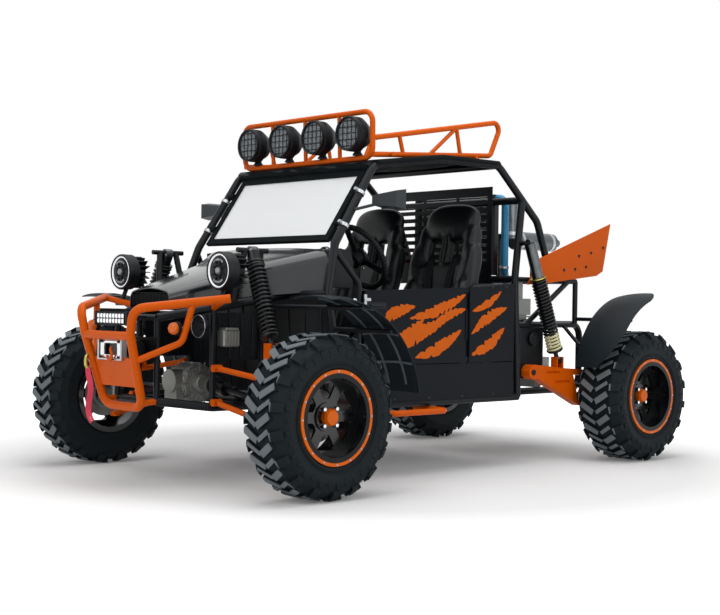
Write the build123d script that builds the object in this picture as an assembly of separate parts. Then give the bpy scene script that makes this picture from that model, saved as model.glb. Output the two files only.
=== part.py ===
"""Two-seat dune buggy: tube frame, open cabin, rear engine, long-travel suspension.

Millimetres, +X forward, +Y to the driver's left, +Z up, the wheels standing on Z = 0.
"""
import os
from math import acos, cos, pi, radians, sin, sqrt, tan

from build123d import *

os.makedirs("parts", exist_ok=True)

# Wheels and stance
tyre_radius = 343.0
front_tyre_width = 229.0
rear_tyre_width = 270.0
rim_radius = 178.0
wheelbase = 2310.0
front_overhang = 526.0
front_wheel_y = 820.0
rear_wheel_y = 740.0
kingpin_y = 690.0

# Tubes and sheet
main_tube = 38.0
brace_tube = 28.0
rack_tube = 26.0
thin_tube = 20.0
skin = 5.0
weld_gap = 0.3
bend_radius = 70.0

# Half widths, from the middle of the buggy
door_y = 580.0
roof_y = 500.0
header_y = 490.0
rear_y = 500.0
nose_y = 280.0
nose_tip_y = 150.0
cradle_y = 300.0
seat_y = 270.0

# Heights of the frame
floor_z = 350.0
dash_z = 845.0
scuttle_z = 1075.0
header_z = 1450.0
roof_z = 1516.0
waist_z = 895.0
rear_low_z = 711.0
rear_top_z = 945.0

# Where the frame bends, along the buggy from an axle
sill_front = -375.0
dash_from_axle = -285.0
scuttle_from_axle = -355.0
header_from_axle = -605.0
hoop_from_axle = 735.0
front_post = 145.0
rear_post = 195.0
door_front = -455.0
door_rear = -1195.0

# Running gaps
pin_gap = 0.5

front_axle = (wheelbase + tyre_radius - front_overhang) / 2
rear_axle = front_axle - wheelbase
side_y = door_y - skin - weld_gap - main_tube / 2
post_y = door_y - skin - weld_gap - brace_tube / 2
sides = (1, -1)
on_end = (Align.CENTER, Align.CENTER, Align.MIN)


def fa(ahead):
    """X of a place measured ahead of the front axle."""
    return front_axle + ahead


def ra(ahead):
    """X of a place measured ahead of the rear axle."""
    return rear_axle + ahead


def between(a, b, share):
    """The point that lies a share of the way from a to b."""
    return tuple(p + (q - p) * share for p, q in zip(a, b))


def at_height(a, b, z):
    """The point of the line from a to b at one height."""
    return between(a, b, (z - a[2]) / (b[2] - a[2]))


def flip(points):
    return [(x, -y, z) for x, y, z in points]


def write(node, solids):
    export_step(Compound(label=node, children=list(solids)), f"parts/{node}.step")


def both(make, *sizes):
    """Left and right copies of one solid, or of several."""
    made = make(*sizes)
    made = made if isinstance(made, list) else [made]
    return made + [mirror(s, about=Plane.XZ).solid() for s in made]


def rod(a, b, diameter):
    start = Vector(*a)
    run = Vector(*b) - start
    return Plane(start, z_dir=run) * Cylinder(diameter / 2, run.length, align=on_end)


def rod_x(y, z, back, front, diameter):
    return rod((back, y, z), (front, y, z), diameter)


def rod_y(x, z, low, high, diameter):
    return rod((x, low, z), (x, high, z), diameter)


def rod_z(x, y, low, high, diameter):
    return rod((x, y, low), (x, y, high), diameter)


def block(low, high):
    size = [h - l for l, h in zip(low, high)]
    return Pos(*low) * Box(*size, align=(Align.MIN, Align.MIN, Align.MIN))


def sheet_xz(outline, y, thickness):
    """A flat plate across Y, from its outline in X and Z, thickness towards +Y."""
    wire = Polyline(*[(x, y, z) for x, z in outline], close=True)
    return extrude(make_face(wire), amount=thickness, dir=(0, 1, 0))


def turned(profile, x, z):
    """A ring about the Y line through x, z, from radius and Y pairs."""
    face = make_face(Polyline(*[(x + r, y, z) for r, y in profile], close=True))
    return revolve(face, Axis((x, 0, z), (0, 1, 0)))


def turned_ahead(profile, x, y, z):
    """A solid about the X line through y, z, from radius and distance ahead of x."""
    face = make_face(Polyline(*[(x + ahead, y + r, z) for r, ahead in profile], close=True))
    return revolve(face, Axis((x, y, z), (1, 0, 0)))


class Tubing:
    """Tubes welded one after another, each cut to fit round those before it."""

    def __init__(self):
        self.laid = []

    def cut(self, solid, line, radius, own):
        for grown, other_line, other_radius, other_own in self.laid:
            if other_own is own or apart(line, other_line) > radius + other_radius + weld_gap:
                continue
            left = solid - grown
            solid = max(left.solids(), key=lambda s: s.volume)
        return solid

    def lay(self, points, diameter, bend=bend_radius):
        radius = diameter / 2
        own = object()
        pieces = []
        for line, is_bend in split_bends(points, bend):
            pieces.append((pipe(line, radius, is_bend), pipe(line, radius + weld_gap, is_bend), line))
        out = []
        for solid, grown, line in pieces:
            out.append(self.cut(solid.solid(), line, radius, own))
        self.laid += [(grown, line, radius, own) for _, grown, line in pieces]
        return out

    def fit(self, solid):
        """The solid with room cut for every tube that it meets."""
        solid = solid.solid()
        for grown, *_ in self.laid:
            if solid.bounding_box().overlaps(grown.bounding_box()):
                left = solid - grown
                solid = max(left.solids(), key=lambda s: s.volume)
        return solid

    def lay_pair(self, points, diameter, bend=bend_radius):
        return self.lay(points, diameter, bend) + self.lay(flip(points), diameter, bend)


def split_bends(points, bend):
    """Straight lengths and the bends between them, each a list of points."""
    ends = [Vector(*p) for p in points]
    start = ends[0]
    for i in range(1, len(ends) - 1):
        into = (ends[i] - ends[i - 1]).normalized()
        out = (ends[i + 1] - ends[i]).normalized()
        half = acos(max(-1.0, min(1.0, into.dot(out)))) / 2
        reach = bend * tan(half)
        first = ends[i] - into * reach
        last = ends[i] + out * reach
        middle = ends[i] + (out - into).normalized() * (bend / cos(half) - bend)
        yield [start, first - into * weld_gap], False
        yield [first, middle, last], True
        start = last + out * weld_gap
    yield [start, ends[-1]], False


def pipe(line, radius, is_bend):
    if is_bend:
        path = Edge.make_three_point_arc(*line)
        return sweep(Plane(line[0], z_dir=path % 0) * Circle(radius), path=path)
    run = line[1] - line[0]
    return Plane(line[0], z_dir=run) * Cylinder(radius, run.length, align=on_end)


def apart(line, other):
    """Least distance between two lines of points, by their straight spans."""
    return min(span_gap(a, b, c, d) for a, b in zip(line, line[1:]) for c, d in zip(other, other[1:]))


def span_gap(a, b, c, d):
    edge = Edge.make_line(a, b)
    return edge.distance(Edge.make_line(c, d))


tubing = Tubing()

# Lower frame: cabin floor, nose and engine bay
sill_corner = (fa(sill_front), side_y, floor_z)
hoop_foot = (ra(hoop_from_axle), side_y, floor_z)
hoop_waist = (ra(700), rear_y, rear_top_z)
dash_corner = (fa(dash_from_axle), 540, dash_z)
scuttle_corner = (fa(scuttle_from_axle), 505, scuttle_z)
header_corner = (fa(header_from_axle), header_y, header_z)
roof_bow = (fa(-1055), roof_y, roof_z - 4)
roof_corner = (ra(845), roof_y, roof_z)
stay_bend = (ra(528), roof_y, 1248)
stay_foot = (ra(400), rear_y, rear_top_z)
nose_top = (fa(345), nose_tip_y, 735)
nose_low = (fa(345), nose_tip_y, floor_z + 25)
post_low = (fa(front_post), nose_y, floor_z)
post_top = (fa(front_post), nose_y, 780)
rail_back = (fa(dash_from_axle), nose_y, dash_z)
arm_back = (fa(-front_post), nose_y, floor_z)
arm_back_top = at_height(arm_back, (fa(-front_post), nose_y, 900), 823)
rear_low = (ra(rear_post), rear_y, rear_low_z)
rear_top = (ra(rear_post), rear_y, rear_top_z)
hoop_low = at_height(hoop_foot, hoop_waist, rear_low_z)
cradle_front = (ra(hoop_from_axle), cradle_y, floor_z)
cradle_back = (ra(-110), cradle_y, floor_z)
cradle_rise = (ra(-110), cradle_y, rear_low_z)
cradle_top = (ra(rear_post), cradle_y, rear_low_z)
tow_bar = (ra(-110), cradle_y, floor_z + 95)
hoop_top = at_height(roof_corner, stay_bend, 1352)


def across(point):
    return [point, (point[0], -point[1], point[2])]


lower_frame = []
lower_frame += tubing.lay_pair([sill_corner, hoop_foot], main_tube)
for corner in (sill_corner, hoop_foot):
    lower_frame += tubing.lay(across(corner), main_tube)
lower_frame += tubing.lay_pair([(fa(sill_front), nose_y, floor_z), post_low, nose_low], main_tube)
lower_frame += tubing.lay_pair([rail_back, post_top, nose_top], main_tube)
for low, top in ((post_low, post_top), (arm_back, arm_back_top), (nose_low, nose_top)):
    lower_frame += tubing.lay_pair([low, top], brace_tube)
for point in (post_low, post_top, arm_back, nose_low, nose_top):
    lower_frame += tubing.lay(across(point), brace_tube)

# Roll cage: side tubes from the sill over the roof to the engine bay, hoop and cross tubes
roll_cage = []
side_run = [sill_corner, dash_corner, scuttle_corner, header_corner, roof_bow,
            roof_corner, stay_bend, stay_foot]
roll_cage += tubing.lay_pair(side_run, main_tube, 90)
roll_cage += tubing.lay(across(dash_corner), main_tube)
roll_cage += tubing.lay_pair([hoop_foot, hoop_waist, hoop_top], main_tube, 90)
for point in (header_corner, roof_corner, hoop_waist, hoop_top):
    roll_cage += tubing.lay(across(point), main_tube)
front_door_post = [(fa(door_front), post_y, floor_z), (fa(door_front), post_y, waist_z),
                   between(dash_corner, scuttle_corner, 0.9)]
rear_door_post = [(fa(door_rear), post_y, floor_z), (fa(door_rear), post_y, waist_z),
                  at_height(hoop_foot, hoop_waist, waist_z + 15)]
for post in (front_door_post, rear_door_post):
    roll_cage += tubing.lay_pair(post, brace_tube, 60)

# Engine bay tubes behind the hoop
engine_bay = []
engine_bay += tubing.lay_pair([hoop_low, rear_low], brace_tube)
engine_bay += tubing.lay_pair([hoop_waist, rear_top], brace_tube)
engine_bay += tubing.lay_pair([rear_low, rear_top], brace_tube)
engine_bay += tubing.lay_pair([between(hoop_low, rear_low, 0.15),
                               between(hoop_waist, rear_top, 0.88)], brace_tube)
for point in (rear_low, rear_top):
    engine_bay += tubing.lay(across(point), brace_tube)
engine_bay += tubing.lay_pair([cradle_front, cradle_back, cradle_rise, cradle_top], main_tube)
engine_bay += tubing.lay(across(tow_bar), brace_tube)
lower_frame += engine_bay

# Front damper towers beside the bonnet
front_damper_top = (fa(-35), 319, 1035)
tower_bar = 22.0
tower_half = 85.0
tower_legs = 45.0
damper_towers = []
bar_ends = [(fa(-35 - tower_half), 319, 1035), (fa(-35 + tower_half), 319, 1035)]
damper_towers += tubing.lay_pair(bar_ends, tower_bar)
for lean in sides:
    foot = between(rail_back, post_top, 0.58 + 0.17 * lean)
    head = (fa(-35 + lean * tower_legs), 319, 1035)
    damper_towers += tubing.lay_pair([foot, head], brace_tube)
lower_frame += damper_towers

# Bumper: one bent loop, a cross tube and side braces
bumper_tip = (front_axle + front_overhang - main_tube / 2, 206, 772)
bumper_mid = (fa(500), 176, 662)
bumper_low = (fa(410), 144, 348)
bumper_end = (fa(202), 472, 821)
half_loop = [bumper_end, bumper_tip, bumper_mid, bumper_low]
front_bumper = tubing.lay(half_loop + flip(half_loop)[::-1], main_tube, 60)
front_bumper += tubing.lay(across(between(bumper_mid, bumper_low, 0.02)), main_tube)
brace_top = between(bumper_end, bumper_tip, 0.38)
brace_bend = (fa(345), 330, 634)
brace_end = between(bumper_mid, bumper_low, 0.36)
front_bumper += tubing.lay_pair([brace_top, brace_bend, brace_end], brace_tube, 45)
lamp_bar = [between(bumper_end, bumper_tip, 0.06), post_top]
front_bumper += tubing.lay_pair(lamp_bar, brace_tube)
front_bumper += tubing.lay_pair([between(bumper_mid, bumper_low, 0.93), nose_low], brace_tube)

# Fenders: arched strips, each about a line of its own, on stays that reach out along Y
fender_sheet = 5.0
fender_crown = 14.0
front_fender_radius = 480.0
front_fender_y = (690.0, 930.0)
front_fender_span = (84.0, 170.0)
front_line = (front_axle, tyre_radius)
rear_fender_radius = 455.0
rear_fender_y = (624.0, 880.0)
rear_fender_span = (10.0, 100.0)
rear_line = (ra(-105), tyre_radius + 72)
rear_tail = (ra(-165), ra(46))
stay_end = 15.0


def under_fender(line, radius, x):
    """Height at which a stay lies under a fender's edges."""
    reach = radius - weld_gap - thin_tube / 2
    return line[1] + sqrt(reach ** 2 - (x - line[0]) ** 2)


fender_stays = []
upper_z = under_fender(front_line, front_fender_radius, fa(-front_post))
fender_stays += tubing.lay_pair([(fa(-front_post), nose_y, upper_z),
                                 (fa(-front_post), front_fender_y[1] - stay_end, upper_z)], thin_tube)
pillar_x, pillar_y, _ = at_height(sill_corner, dash_corner, 690)
lower_z = under_fender(front_line, front_fender_radius, pillar_x)
fender_stays += tubing.lay_pair([(pillar_x, pillar_y, lower_z),
                                 (pillar_x, front_fender_y[1] - stay_end, lower_z)], thin_tube)
upper_z = under_fender(rear_line, rear_fender_radius, ra(rear_post))
fender_stays += tubing.lay_pair([(ra(rear_post), rear_y, upper_z),
                                 (ra(rear_post), rear_fender_y[1] - stay_end, upper_z)], thin_tube)
drop_x = ra(297)
drop_z = under_fender(rear_line, rear_fender_radius, drop_x)
fender_stays += tubing.lay_pair([(drop_x, rear_y, rear_low_z), (drop_x, rear_fender_y[0] - 10, drop_z),
                                 (drop_x, rear_fender_y[1] - 60, drop_z)], thin_tube, 40)
lower_frame += fender_stays


def fender(line, radius, span_y, angles):
    """An arched section turned about the fender's line, between two angles above straight ahead."""
    low, high = span_y
    out = Vector(cos(radians(angles[1])), 0, sin(radians(angles[1])))
    centre = Vector(line[0], 0, line[1])

    def arch(extra):
        ends = [centre + out * (radius + extra) + Vector(0, y, 0) for y in span_y]
        crown = centre + out * (radius + extra + fender_crown) + Vector(0, (low + high) / 2, 0)
        return Edge.make_three_point_arc(ends[0], crown, ends[1])

    under, over = arch(0), arch(fender_sheet)
    ends = [Edge.make_line(under @ 0, over @ 0), Edge.make_line(under @ 1, over @ 1)]
    section = make_face([under, over] + ends)
    return revolve(section, Axis((line[0], 0, line[1]), (0, 1, 0)), angles[1] - angles[0])


def front_fender():
    return fender(front_line, front_fender_radius, front_fender_y, front_fender_span).solid()


def rear_fender():
    """The back end runs out to a point on the inner side, and the outer foot is rounded off."""
    made = fender(rear_line, rear_fender_radius, rear_fender_y, rear_fender_span)
    inner, outer = rear_fender_y
    far_back = rear_tail[0] - rear_fender_radius
    top = rear_line[1] + 2 * rear_fender_radius
    level = rear_line[1] + rear_fender_radius / 2
    tail_curve = Edge.make_three_point_arc(Vector(rear_tail[0], inner - 1, level),
                                           Vector(rear_tail[0] + 55, inner + 150, level),
                                           Vector(rear_tail[1], outer + 1, level))
    rest = Polyline((rear_tail[1], outer + 1, level), (far_back, outer + 1, level),
                    (far_back, inner - 1, level), (rear_tail[0], inner - 1, level))
    made -= extrude(make_face([tail_curve] + rest.edges()), amount=top - level, dir=(0, 0, 1))
    foot_x = rear_line[0] + rear_fender_radius / 2
    foot_low = rear_line[1] + 40
    foot_high = rear_line[1] + 275
    foot_curve = Edge.make_three_point_arc(Vector(foot_x, outer - 170, foot_low),
                                           Vector(foot_x, outer - 70, foot_low + 85),
                                           Vector(foot_x, outer + 1, foot_high))
    rest = Polyline((foot_x, outer + 1, foot_high), (foot_x, outer + 1, foot_low),
                    (foot_x, outer - 170, foot_low))
    made -= extrude(make_face([foot_curve] + rest.edges()), amount=rear_fender_radius, dir=(1, 0, 0))
    return max(made.solids(), key=lambda s: s.volume)


front_fenders = both(front_fender)
rear_fenders = both(rear_fender)

# Roof rack: lamp frame across the header, a truss along each side
lamp_frame_low = (fa(-617), 468, roof_z - 30)
lamp_frame_top = (fa(-608), 472, 1699)
rack_y = 470.0
rack_low_front = (fa(-640), rack_y, 1500)
rack_low_rear = (ra(873), rack_y, 1563)
rack_top_front = (fa(-625), rack_y, 1571)
rack_top_rear = (ra(784), rack_y, 1743)
loop = [(lamp_frame_low[0], 0, lamp_frame_low[2]), lamp_frame_low, lamp_frame_top]
roof_rack = tubing.lay(loop + flip(loop)[::-1][:-1] + [(lamp_frame_low[0], -weld_gap, lamp_frame_low[2])],
                       rack_tube, 50)
for y in (-245, 0, 245):
    roof_rack += tubing.lay([(lamp_frame_low[0], y, lamp_frame_low[2]),
                             (lamp_frame_top[0], y, lamp_frame_top[2])], thin_tube)
roof_rack += tubing.lay_pair([between(lamp_frame_low, lamp_frame_top, 0.06), rack_low_rear, rack_top_rear,
                              between(lamp_frame_low, lamp_frame_top, 0.42)], rack_tube, 35)
truss_braces = ((0.22, 0.18), (0.44, 0.62), (0.72, 0.62))
for low_share, top_share in truss_braces:
    roof_rack += tubing.lay_pair([between(rack_low_front, rack_low_rear, low_share),
                                  between(rack_top_front, rack_top_rear, top_share)], thin_tube)
for share in (0.1, 0.86):
    foot = between(rack_low_front, rack_low_rear, share)
    roof_rack += tubing.lay_pair([(foot[0], roof_y, roof_z - 8), foot], thin_tube)

# Side steps hang under the sills
step_z = floor_z - main_tube / 2 - weld_gap - brace_tube / 2
step_in, step_out = 470.0, 680.0
step_back, step_fore = fa(-921), fa(-565)
step_run = [(step_back, step_in, step_z), (step_back, step_out, step_z),
            (step_fore, step_out, step_z), (step_fore, step_in, step_z)]
side_steps = tubing.lay_pair(step_run, brace_tube, 40)

# Cabin sheet: floor, sill panels, quarter panels, dash
floor_sheet = 4.0
floor_low = floor_z + main_tube / 2 + weld_gap
floor_pan = [block((ra(hoop_from_axle), -side_y, floor_low),
                   (fa(sill_front), side_y, floor_low + floor_sheet))]
for notch_x in (fa(door_front), fa(door_rear), fa(sill_front), ra(hoop_from_axle)):
    for side in sides:
        post = Pos(notch_x, side * side_y, floor_low) * Box(70, 60, 60)
        floor_pan = [(floor_pan[0] - post).solid()]

panel_gap = 4.0
sill_top = 528.0
door_low = sill_top + panel_gap
hinge_x = fa(-1173)
latch_x = fa(door_front - 20)
door_top_front = 866.0
door_top_rear = 895.0
quarter_back = ra(795)
panel_in = door_y - skin
sill_panel = sheet_xz([(quarter_back, 357), (fa(sill_front - 40), 357), (fa(sill_front - 40), sill_top - 60),
                       (fa(sill_front - 80), sill_top), (quarter_back, sill_top)], panel_in, skin)
quarter_panel = sheet_xz([(quarter_back, door_low), (hinge_x - panel_gap, door_low),
                          (hinge_x - panel_gap, door_top_rear), (quarter_back, door_top_rear + 20)],
                         panel_in, skin)
hinge_radius = 6.0
hinge_y = door_y + hinge_radius + weld_gap
hinge_levels = ((560, 640, "body"), (640, 790, "door"), (790, 870, "body"))
body_hinges = []
door_hinges = []
for low, high, holder in hinge_levels:
    reach = -12 if holder == "body" else 12
    barrel = rod_z(hinge_x, hinge_y, low + pin_gap / 2, high - pin_gap / 2, 2 * hinge_radius)
    leaf = block((min(hinge_x, hinge_x + 2 * reach), door_y - 1, low + pin_gap),
                 (max(hinge_x, hinge_x + 2 * reach), door_y + 3, high - pin_gap))
    (body_hinges if holder == "body" else door_hinges).append((barrel + leaf))
for hinge in body_hinges:
    quarter_panel = quarter_panel + hinge
side_panels = both(lambda: [sill_panel.solid(), quarter_panel.solid()])

door_frame = 20.0
door_rear_edge = hinge_x + panel_gap


def door_shape(inset):
    """The door's outline, drawn in by an even width."""
    return [(door_rear_edge + inset, door_low + inset), (latch_x - inset, door_low + inset),
            (latch_x - inset, door_top_front - inset), (door_rear_edge + inset, door_top_rear - inset)]


door = sheet_xz(door_shape(0), panel_in, skin)
door += sheet_xz(door_shape(0), panel_in - door_frame, door_frame)
door -= sheet_xz(door_shape(door_frame), panel_in - door_frame, door_frame)
for hinge in door_hinges:
    door += hinge
door_left = door.solid()
door_right = mirror(door_left, about=Plane.XZ).solid()

# Nose: one sheet from the windscreen down to the lamps, round at its shoulders
nose_sheet = 4.0
nose_crown = 12.0
cowl_foot = dash_z + main_tube / 2 + weld_gap
# Nose sections: X, half width, foot, top and shoulder radius
nose_sections = ((fa(-365), 455, cowl_foot, 1052, 70),
                 (fa(-150), 272, 838, 984, 60),
                 (fa(285), 150, 775, 852, 34))


def nose_ring(x, half, foot, top, shoulder):
    """One section: straight sides, round shoulders and a slightly arched top."""
    def bend(side):
        return Edge.make_three_point_arc(Vector(x, side * half, top - shoulder),
                                         Vector(x, side * (half - shoulder * (1 - cos(pi / 4))),
                                                top - shoulder * (1 - sin(pi / 4))),
                                         Vector(x, side * (half - shoulder), top))
    right, left = bend(-1), bend(1)
    arch = Edge.make_three_point_arc(right @ 1, Vector(x, 0, top + nose_crown), left @ 1)
    sill = Polyline(left @ 0, (x, half, foot), (x, -half, foot), right @ 0)
    return make_face([right, arch, left] + sill.edges())


def nose_shape(inset):
    return loft([nose_ring(x, half - inset, foot, top - inset, shoulder)
                 for x, half, foot, top, shoulder in nose_sections], ruled=True)


nose_cowl = [tubing.fit(nose_shape(0) - nose_shape(nose_sheet))]
dash_half = 450.0
dash_back = fa(-520)
dash_fore = fa(-365) - weld_gap
dash_outline = [(dash_back, 880), (dash_fore, 880), (dash_fore, 1046),
                (fa(-440), 1058), (fa(-505), 1046), (dash_back, 1000)]
dash_panel = [sheet_xz(dash_outline, -dash_half, 2 * dash_half).solid()]

# Windscreen between the front pillars
screen_low = (fa(-365), 0, scuttle_z + 12)
screen_top = (fa(-597), 0, header_z - 28)
screen_run = Vector(*screen_top) - Vector(*screen_low)
screen_plane = Plane(Vector(*between(screen_low, screen_top, 0.5)), x_dir=(0, 1, 0),
                     z_dir=screen_run.cross(Vector(0, -1, 0)))
screen_frame = 32.0
pane_sheet = 5.0
screen_half = 450.0
outer = Box(2 * screen_half, screen_run.length, 18)
inner = Box(2 * (screen_half - screen_frame), screen_run.length - 2 * screen_frame, 30)
pane_fit = Box(2 * (screen_half - screen_frame) - 1, screen_run.length - 2 * screen_frame - 1, pane_sheet)
screen_edge = screen_plane * (outer - inner)
for share in (0.25, 0.7):
    pillar = between(scuttle_corner, header_corner, share)
    for side in sides:
        screen_edge += rod_y(pillar[0], pillar[2], side * pillar[1], side * (screen_half - 10), 30)
windscreen_frame = [tubing.fit(screen_edge)]
windscreen = [(screen_plane * pane_fit).solid()]

# Soft roof slung between the roof tubes
canopy_sheet = 4.0
canopy_half = 470.0
sag = 55.0


def canopy():
    reach = main_tube / 2 + weld_gap
    front = (header_corner[0] - reach, header_corner[2] + canopy_sheet / 2)
    back = (roof_corner[0] + reach, roof_corner[2] + canopy_sheet / 2)
    middle = ((front[0] + back[0]) / 2, (front[1] + back[1]) / 2 - sag)
    top = [(x, -canopy_half, z) for x, z in (front, middle, back)]
    low = [(x, y, z - canopy_sheet) for x, y, z in top]
    over = Edge.make_three_point_arc(*[Vector(*p) for p in top])
    under = Edge.make_three_point_arc(*[Vector(*p) for p in low])
    ends = [Edge.make_line(over @ 0, under @ 0), Edge.make_line(over @ 1, under @ 1)]
    return extrude(make_face([over, under] + ends), amount=2 * canopy_half, dir=(0, 1, 0)).solid()


roof_canopy = [canopy()]

# Lamps
lamp_radius = 82.0
lamp_x = lamp_frame_low[0] + 10
lamp_z = 1597.0
# Lamp outline: radius and distance ahead, from the back of the bowl to the lens
lamp_outline = ((0, -60), (34, -60), (58, -44), (76, -12), (82, 0), (82, 40), (76, 50), (0, 50))
roof_lamps = []
for y in (-366, -122, 122, 366):
    pod = turned_ahead(lamp_outline, lamp_x, y, lamp_z)
    foot = rod((lamp_frame_low[0], y, lamp_frame_low[2] + rack_tube / 2 + weld_gap),
               (lamp_frame_low[0], y, lamp_z), thin_tube)
    roof_lamps.append((pod + foot).solid())
headlight_x = fa(152)
headlight_y = 372.0
headlight_z = 939.0
headlight_outline = ((0, -75), (38, -75), (38, -22), (74, -22), (82, -12),
                     (82, 34), (75, 42), (68, 34), (0, 34))
fin_count = 16
fin_reach = (34.0, 74.0)


def headlight():
    made = turned_ahead(headlight_outline, headlight_x, headlight_y, headlight_z)
    for n in range(fin_count):
        fin = Pos(-48, 0, sum(fin_reach) / 2) * Box(54, 4, fin_reach[1] - fin_reach[0])
        made += Pos(headlight_x, headlight_y, headlight_z) * Rot(360 * n / fin_count, 0, 0) * fin
    foot = between(*lamp_bar, (lamp_bar[0][1] - headlight_y) / (lamp_bar[0][1] - lamp_bar[1][1]))
    made += rod(foot, (headlight_x - 10, headlight_y, headlight_z - lamp_radius / 2), thin_tube)
    return tubing.fit(made)


headlights = both(headlight)
light_bar = block((fa(440), -115, 700), (fa(480), 115, 758))
for y in (-70, 70):
    light_bar += block((nose_top[0], y - 10, nose_top[2] - 6), (fa(445), y + 10, nose_top[2] + 6))
light_bar = [tubing.fit(light_bar)]
turn_lamp_radius = 25.0
turn_lamp = (fa(365), 313, 692)


def turn_signal():
    x, y, z = turn_lamp
    stub = rod(at_height(brace_top, brace_bend, z), (x, y, z), 16)
    dome = ((0, -8), (turn_lamp_radius, -8), (turn_lamp_radius, 14), (20, 26), (10, 31), (0, 32))
    return tubing.fit(turned_ahead(dome, x, y, z) + stub)


turn_signals = both(turn_signal)

# Front suspension: two wishbones a side, damper and spring, drive shaft
ball_radius = 24.0
ball_high = 24.0
upper_ball_z = 450.0
lower_ball_z = 250.0
upper_pivot_z = 520.0
lower_pivot_z = 372.0
wishbone_tube = 25.0
bush = 32.0
bush_long = 44.0
bush_y = nose_y + brace_tube / 2 + weld_gap + bush / 2
front_damper_low = (fa(-5), 500, 610)
ear = 8.0
ear_half = 24.0


def wishbone(pivot_z, ball_z):
    ball = (fa(0), kingpin_y, ball_z)
    made = rod_z(fa(0), kingpin_y, ball_z - ball_high / 2, ball_z + ball_high / 2, 2 * ball_radius)
    for side in sides:
        pivot = (fa(side * front_post), bush_y, pivot_z)
        made += rod_x(bush_y, pivot_z, pivot[0] - bush_long / 2, pivot[0] + bush_long / 2, bush)
        made += rod(pivot, ball, wishbone_tube)
    inward = ball_high / 2 if ball_z < tyre_radius else -ball_high / 2
    made -= rod((fa(0), kingpin_y, ball_z + inward), (fa(0), kingpin_y, ball_z + 4 * inward), 36)
    return made.solid()


def upper_wishbone():
    x, y, z = front_damper_low
    plate_z = upper_pivot_z - 40
    made = wishbone(upper_pivot_z, upper_ball_z)
    made += block((fa(-85), y - 25, plate_z), (fa(85), y + 25, plate_z + 14))
    for side in sides:
        middle = x + side * ear_half
        made += block((middle - ear / 2, y - 24, plate_z), (middle + ear / 2, y + 24, z + 22))
    return made.solid()


front_arms = both(lambda: [upper_wishbone(), wishbone(lower_pivot_z, lower_ball_z)])

damper_eye = 36.0
damper_body = 58.0
damper_shaft = 20.0
spring_outer = 84.0


def damper(top, low, eye_long):
    """Eye, body and shaft along one line, with the spring's sleeve as a second solid."""
    eye_top = rod_x(top[1], top[2], top[0] - eye_long / 2, top[0] + eye_long / 2, damper_eye)
    eye_low = rod_x(low[1], low[2], low[0] - eye_long / 2, low[0] + eye_long / 2, damper_eye)
    body = rod(top, between(top, low, 0.55), damper_body) + rod(top, low, damper_shaft)
    return (eye_top + eye_low + body).solid()


def spring(top, low, start, stop):
    first, last = between(top, low, start), between(top, low, stop)
    return (rod(first, last, spring_outer) - rod(top, low, damper_body + 2 * weld_gap)).solid()


rear_damper_top = at_height(hoop_waist, hoop_top, 1130)
rear_damper_y = 577.0
rear_damper_top = (rear_damper_top[0], rear_damper_y, rear_damper_top[2])
rear_damper_low = (ra(438), rear_damper_y, 528)
bar_hole = tower_bar + 2 * weld_gap


def front_damper():
    made = damper(front_damper_top, front_damper_low, 2 * ear_half - ear - 2 * weld_gap)
    return (made - rod(bar_ends[0], bar_ends[1], bar_hole)).solid()


def rear_damper():
    pin = rod((rear_damper_top[0], rear_y + main_tube / 2 + weld_gap, rear_damper_top[2]),
              (rear_damper_top[0], rear_damper_y, rear_damper_top[2]), 24)
    return (damper(rear_damper_top, rear_damper_low, 36) + pin).solid()


dampers = both(lambda: [front_damper(), rear_damper()])
springs = both(lambda: [spring(front_damper_top, front_damper_low, 0.16, 0.88),
                        spring(rear_damper_top, rear_damper_low, 0.2, 0.9)])

shaft_inner_y = 105.0
diff_z = 430.0
gearbox_half = 110.0
arm_y = (546.0, 599.0)


def half_shafts():
    front_in, front_out = (fa(0), shaft_inner_y + 14, diff_z), (fa(0), kingpin_y - 40, tyre_radius + 4)
    rear_in, rear_out = (ra(0), gearbox_half + 14, diff_z), (ra(0), arm_y[0] - 14, tyre_radius)
    made = []
    for inner, outer in ((front_in, front_out), (rear_in, rear_out)):
        shaft = rod(inner, outer, 26) + rod((inner[0], inner[1] - 14 + weld_gap, inner[2]), inner, 84)
        if outer is rear_out:
            shaft += rod(outer, (outer[0], arm_y[0] - weld_gap, outer[2]), 76)
        for share in (0.0, 0.86):
            shaft += rod(between(inner, outer, share), between(inner, outer, share + 0.14), 66)
        made.append(shaft.solid())
    return made


halfshafts = both(half_shafts)

# Rear trailing arms with their hubs
arm_pivot = (ra(660), 472)
arm_outline = [(692, 480), (680, 502), (655, 512), (420, 490), (230, 477), (70, 432), (-70, 380), (-80, 312),
               (-40, 278), (60, 272), (270, 288), (620, 440), (665, 436), (690, 455)]
arm_window = [(330, 455), (180, 440), (230, 330), (290, 340)]
arm_slots = ((500, 470, 110), (420, 420, 120))
slot_width = 12.0
arm_pin = 28.0


def trailing_arm():
    made = sheet_xz([(ra(x), z) for x, z in arm_outline], arm_y[0], arm_y[1] - arm_y[0])
    made -= sheet_xz([(ra(x), z) for x, z in arm_window], arm_y[0], arm_y[1] - arm_y[0])
    made -= rod_y(*arm_pivot, arm_y[0] - 5, arm_y[1] + 5, arm_pin + 2 * weld_gap)
    for ahead, level, long in arm_slots:
        made -= block((ra(ahead - long / 2), arm_y[1] - 9, level - slot_width / 2),
                      (ra(ahead + long / 2), arm_y[1] + 1, level + slot_width / 2))
    x, y, z = rear_damper_low
    for side in sides:
        middle = x + side * ear_half
        made += block((middle - ear / 2, y - 20, z - 60), (middle + ear / 2, y + 20, z + 20))
    return made.solid()


def rear_spindle():
    return rod((ra(0), arm_y[1] + weld_gap, tyre_radius), (ra(0), rear_wheel_y + 15, tyre_radius), 40).solid()


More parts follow.
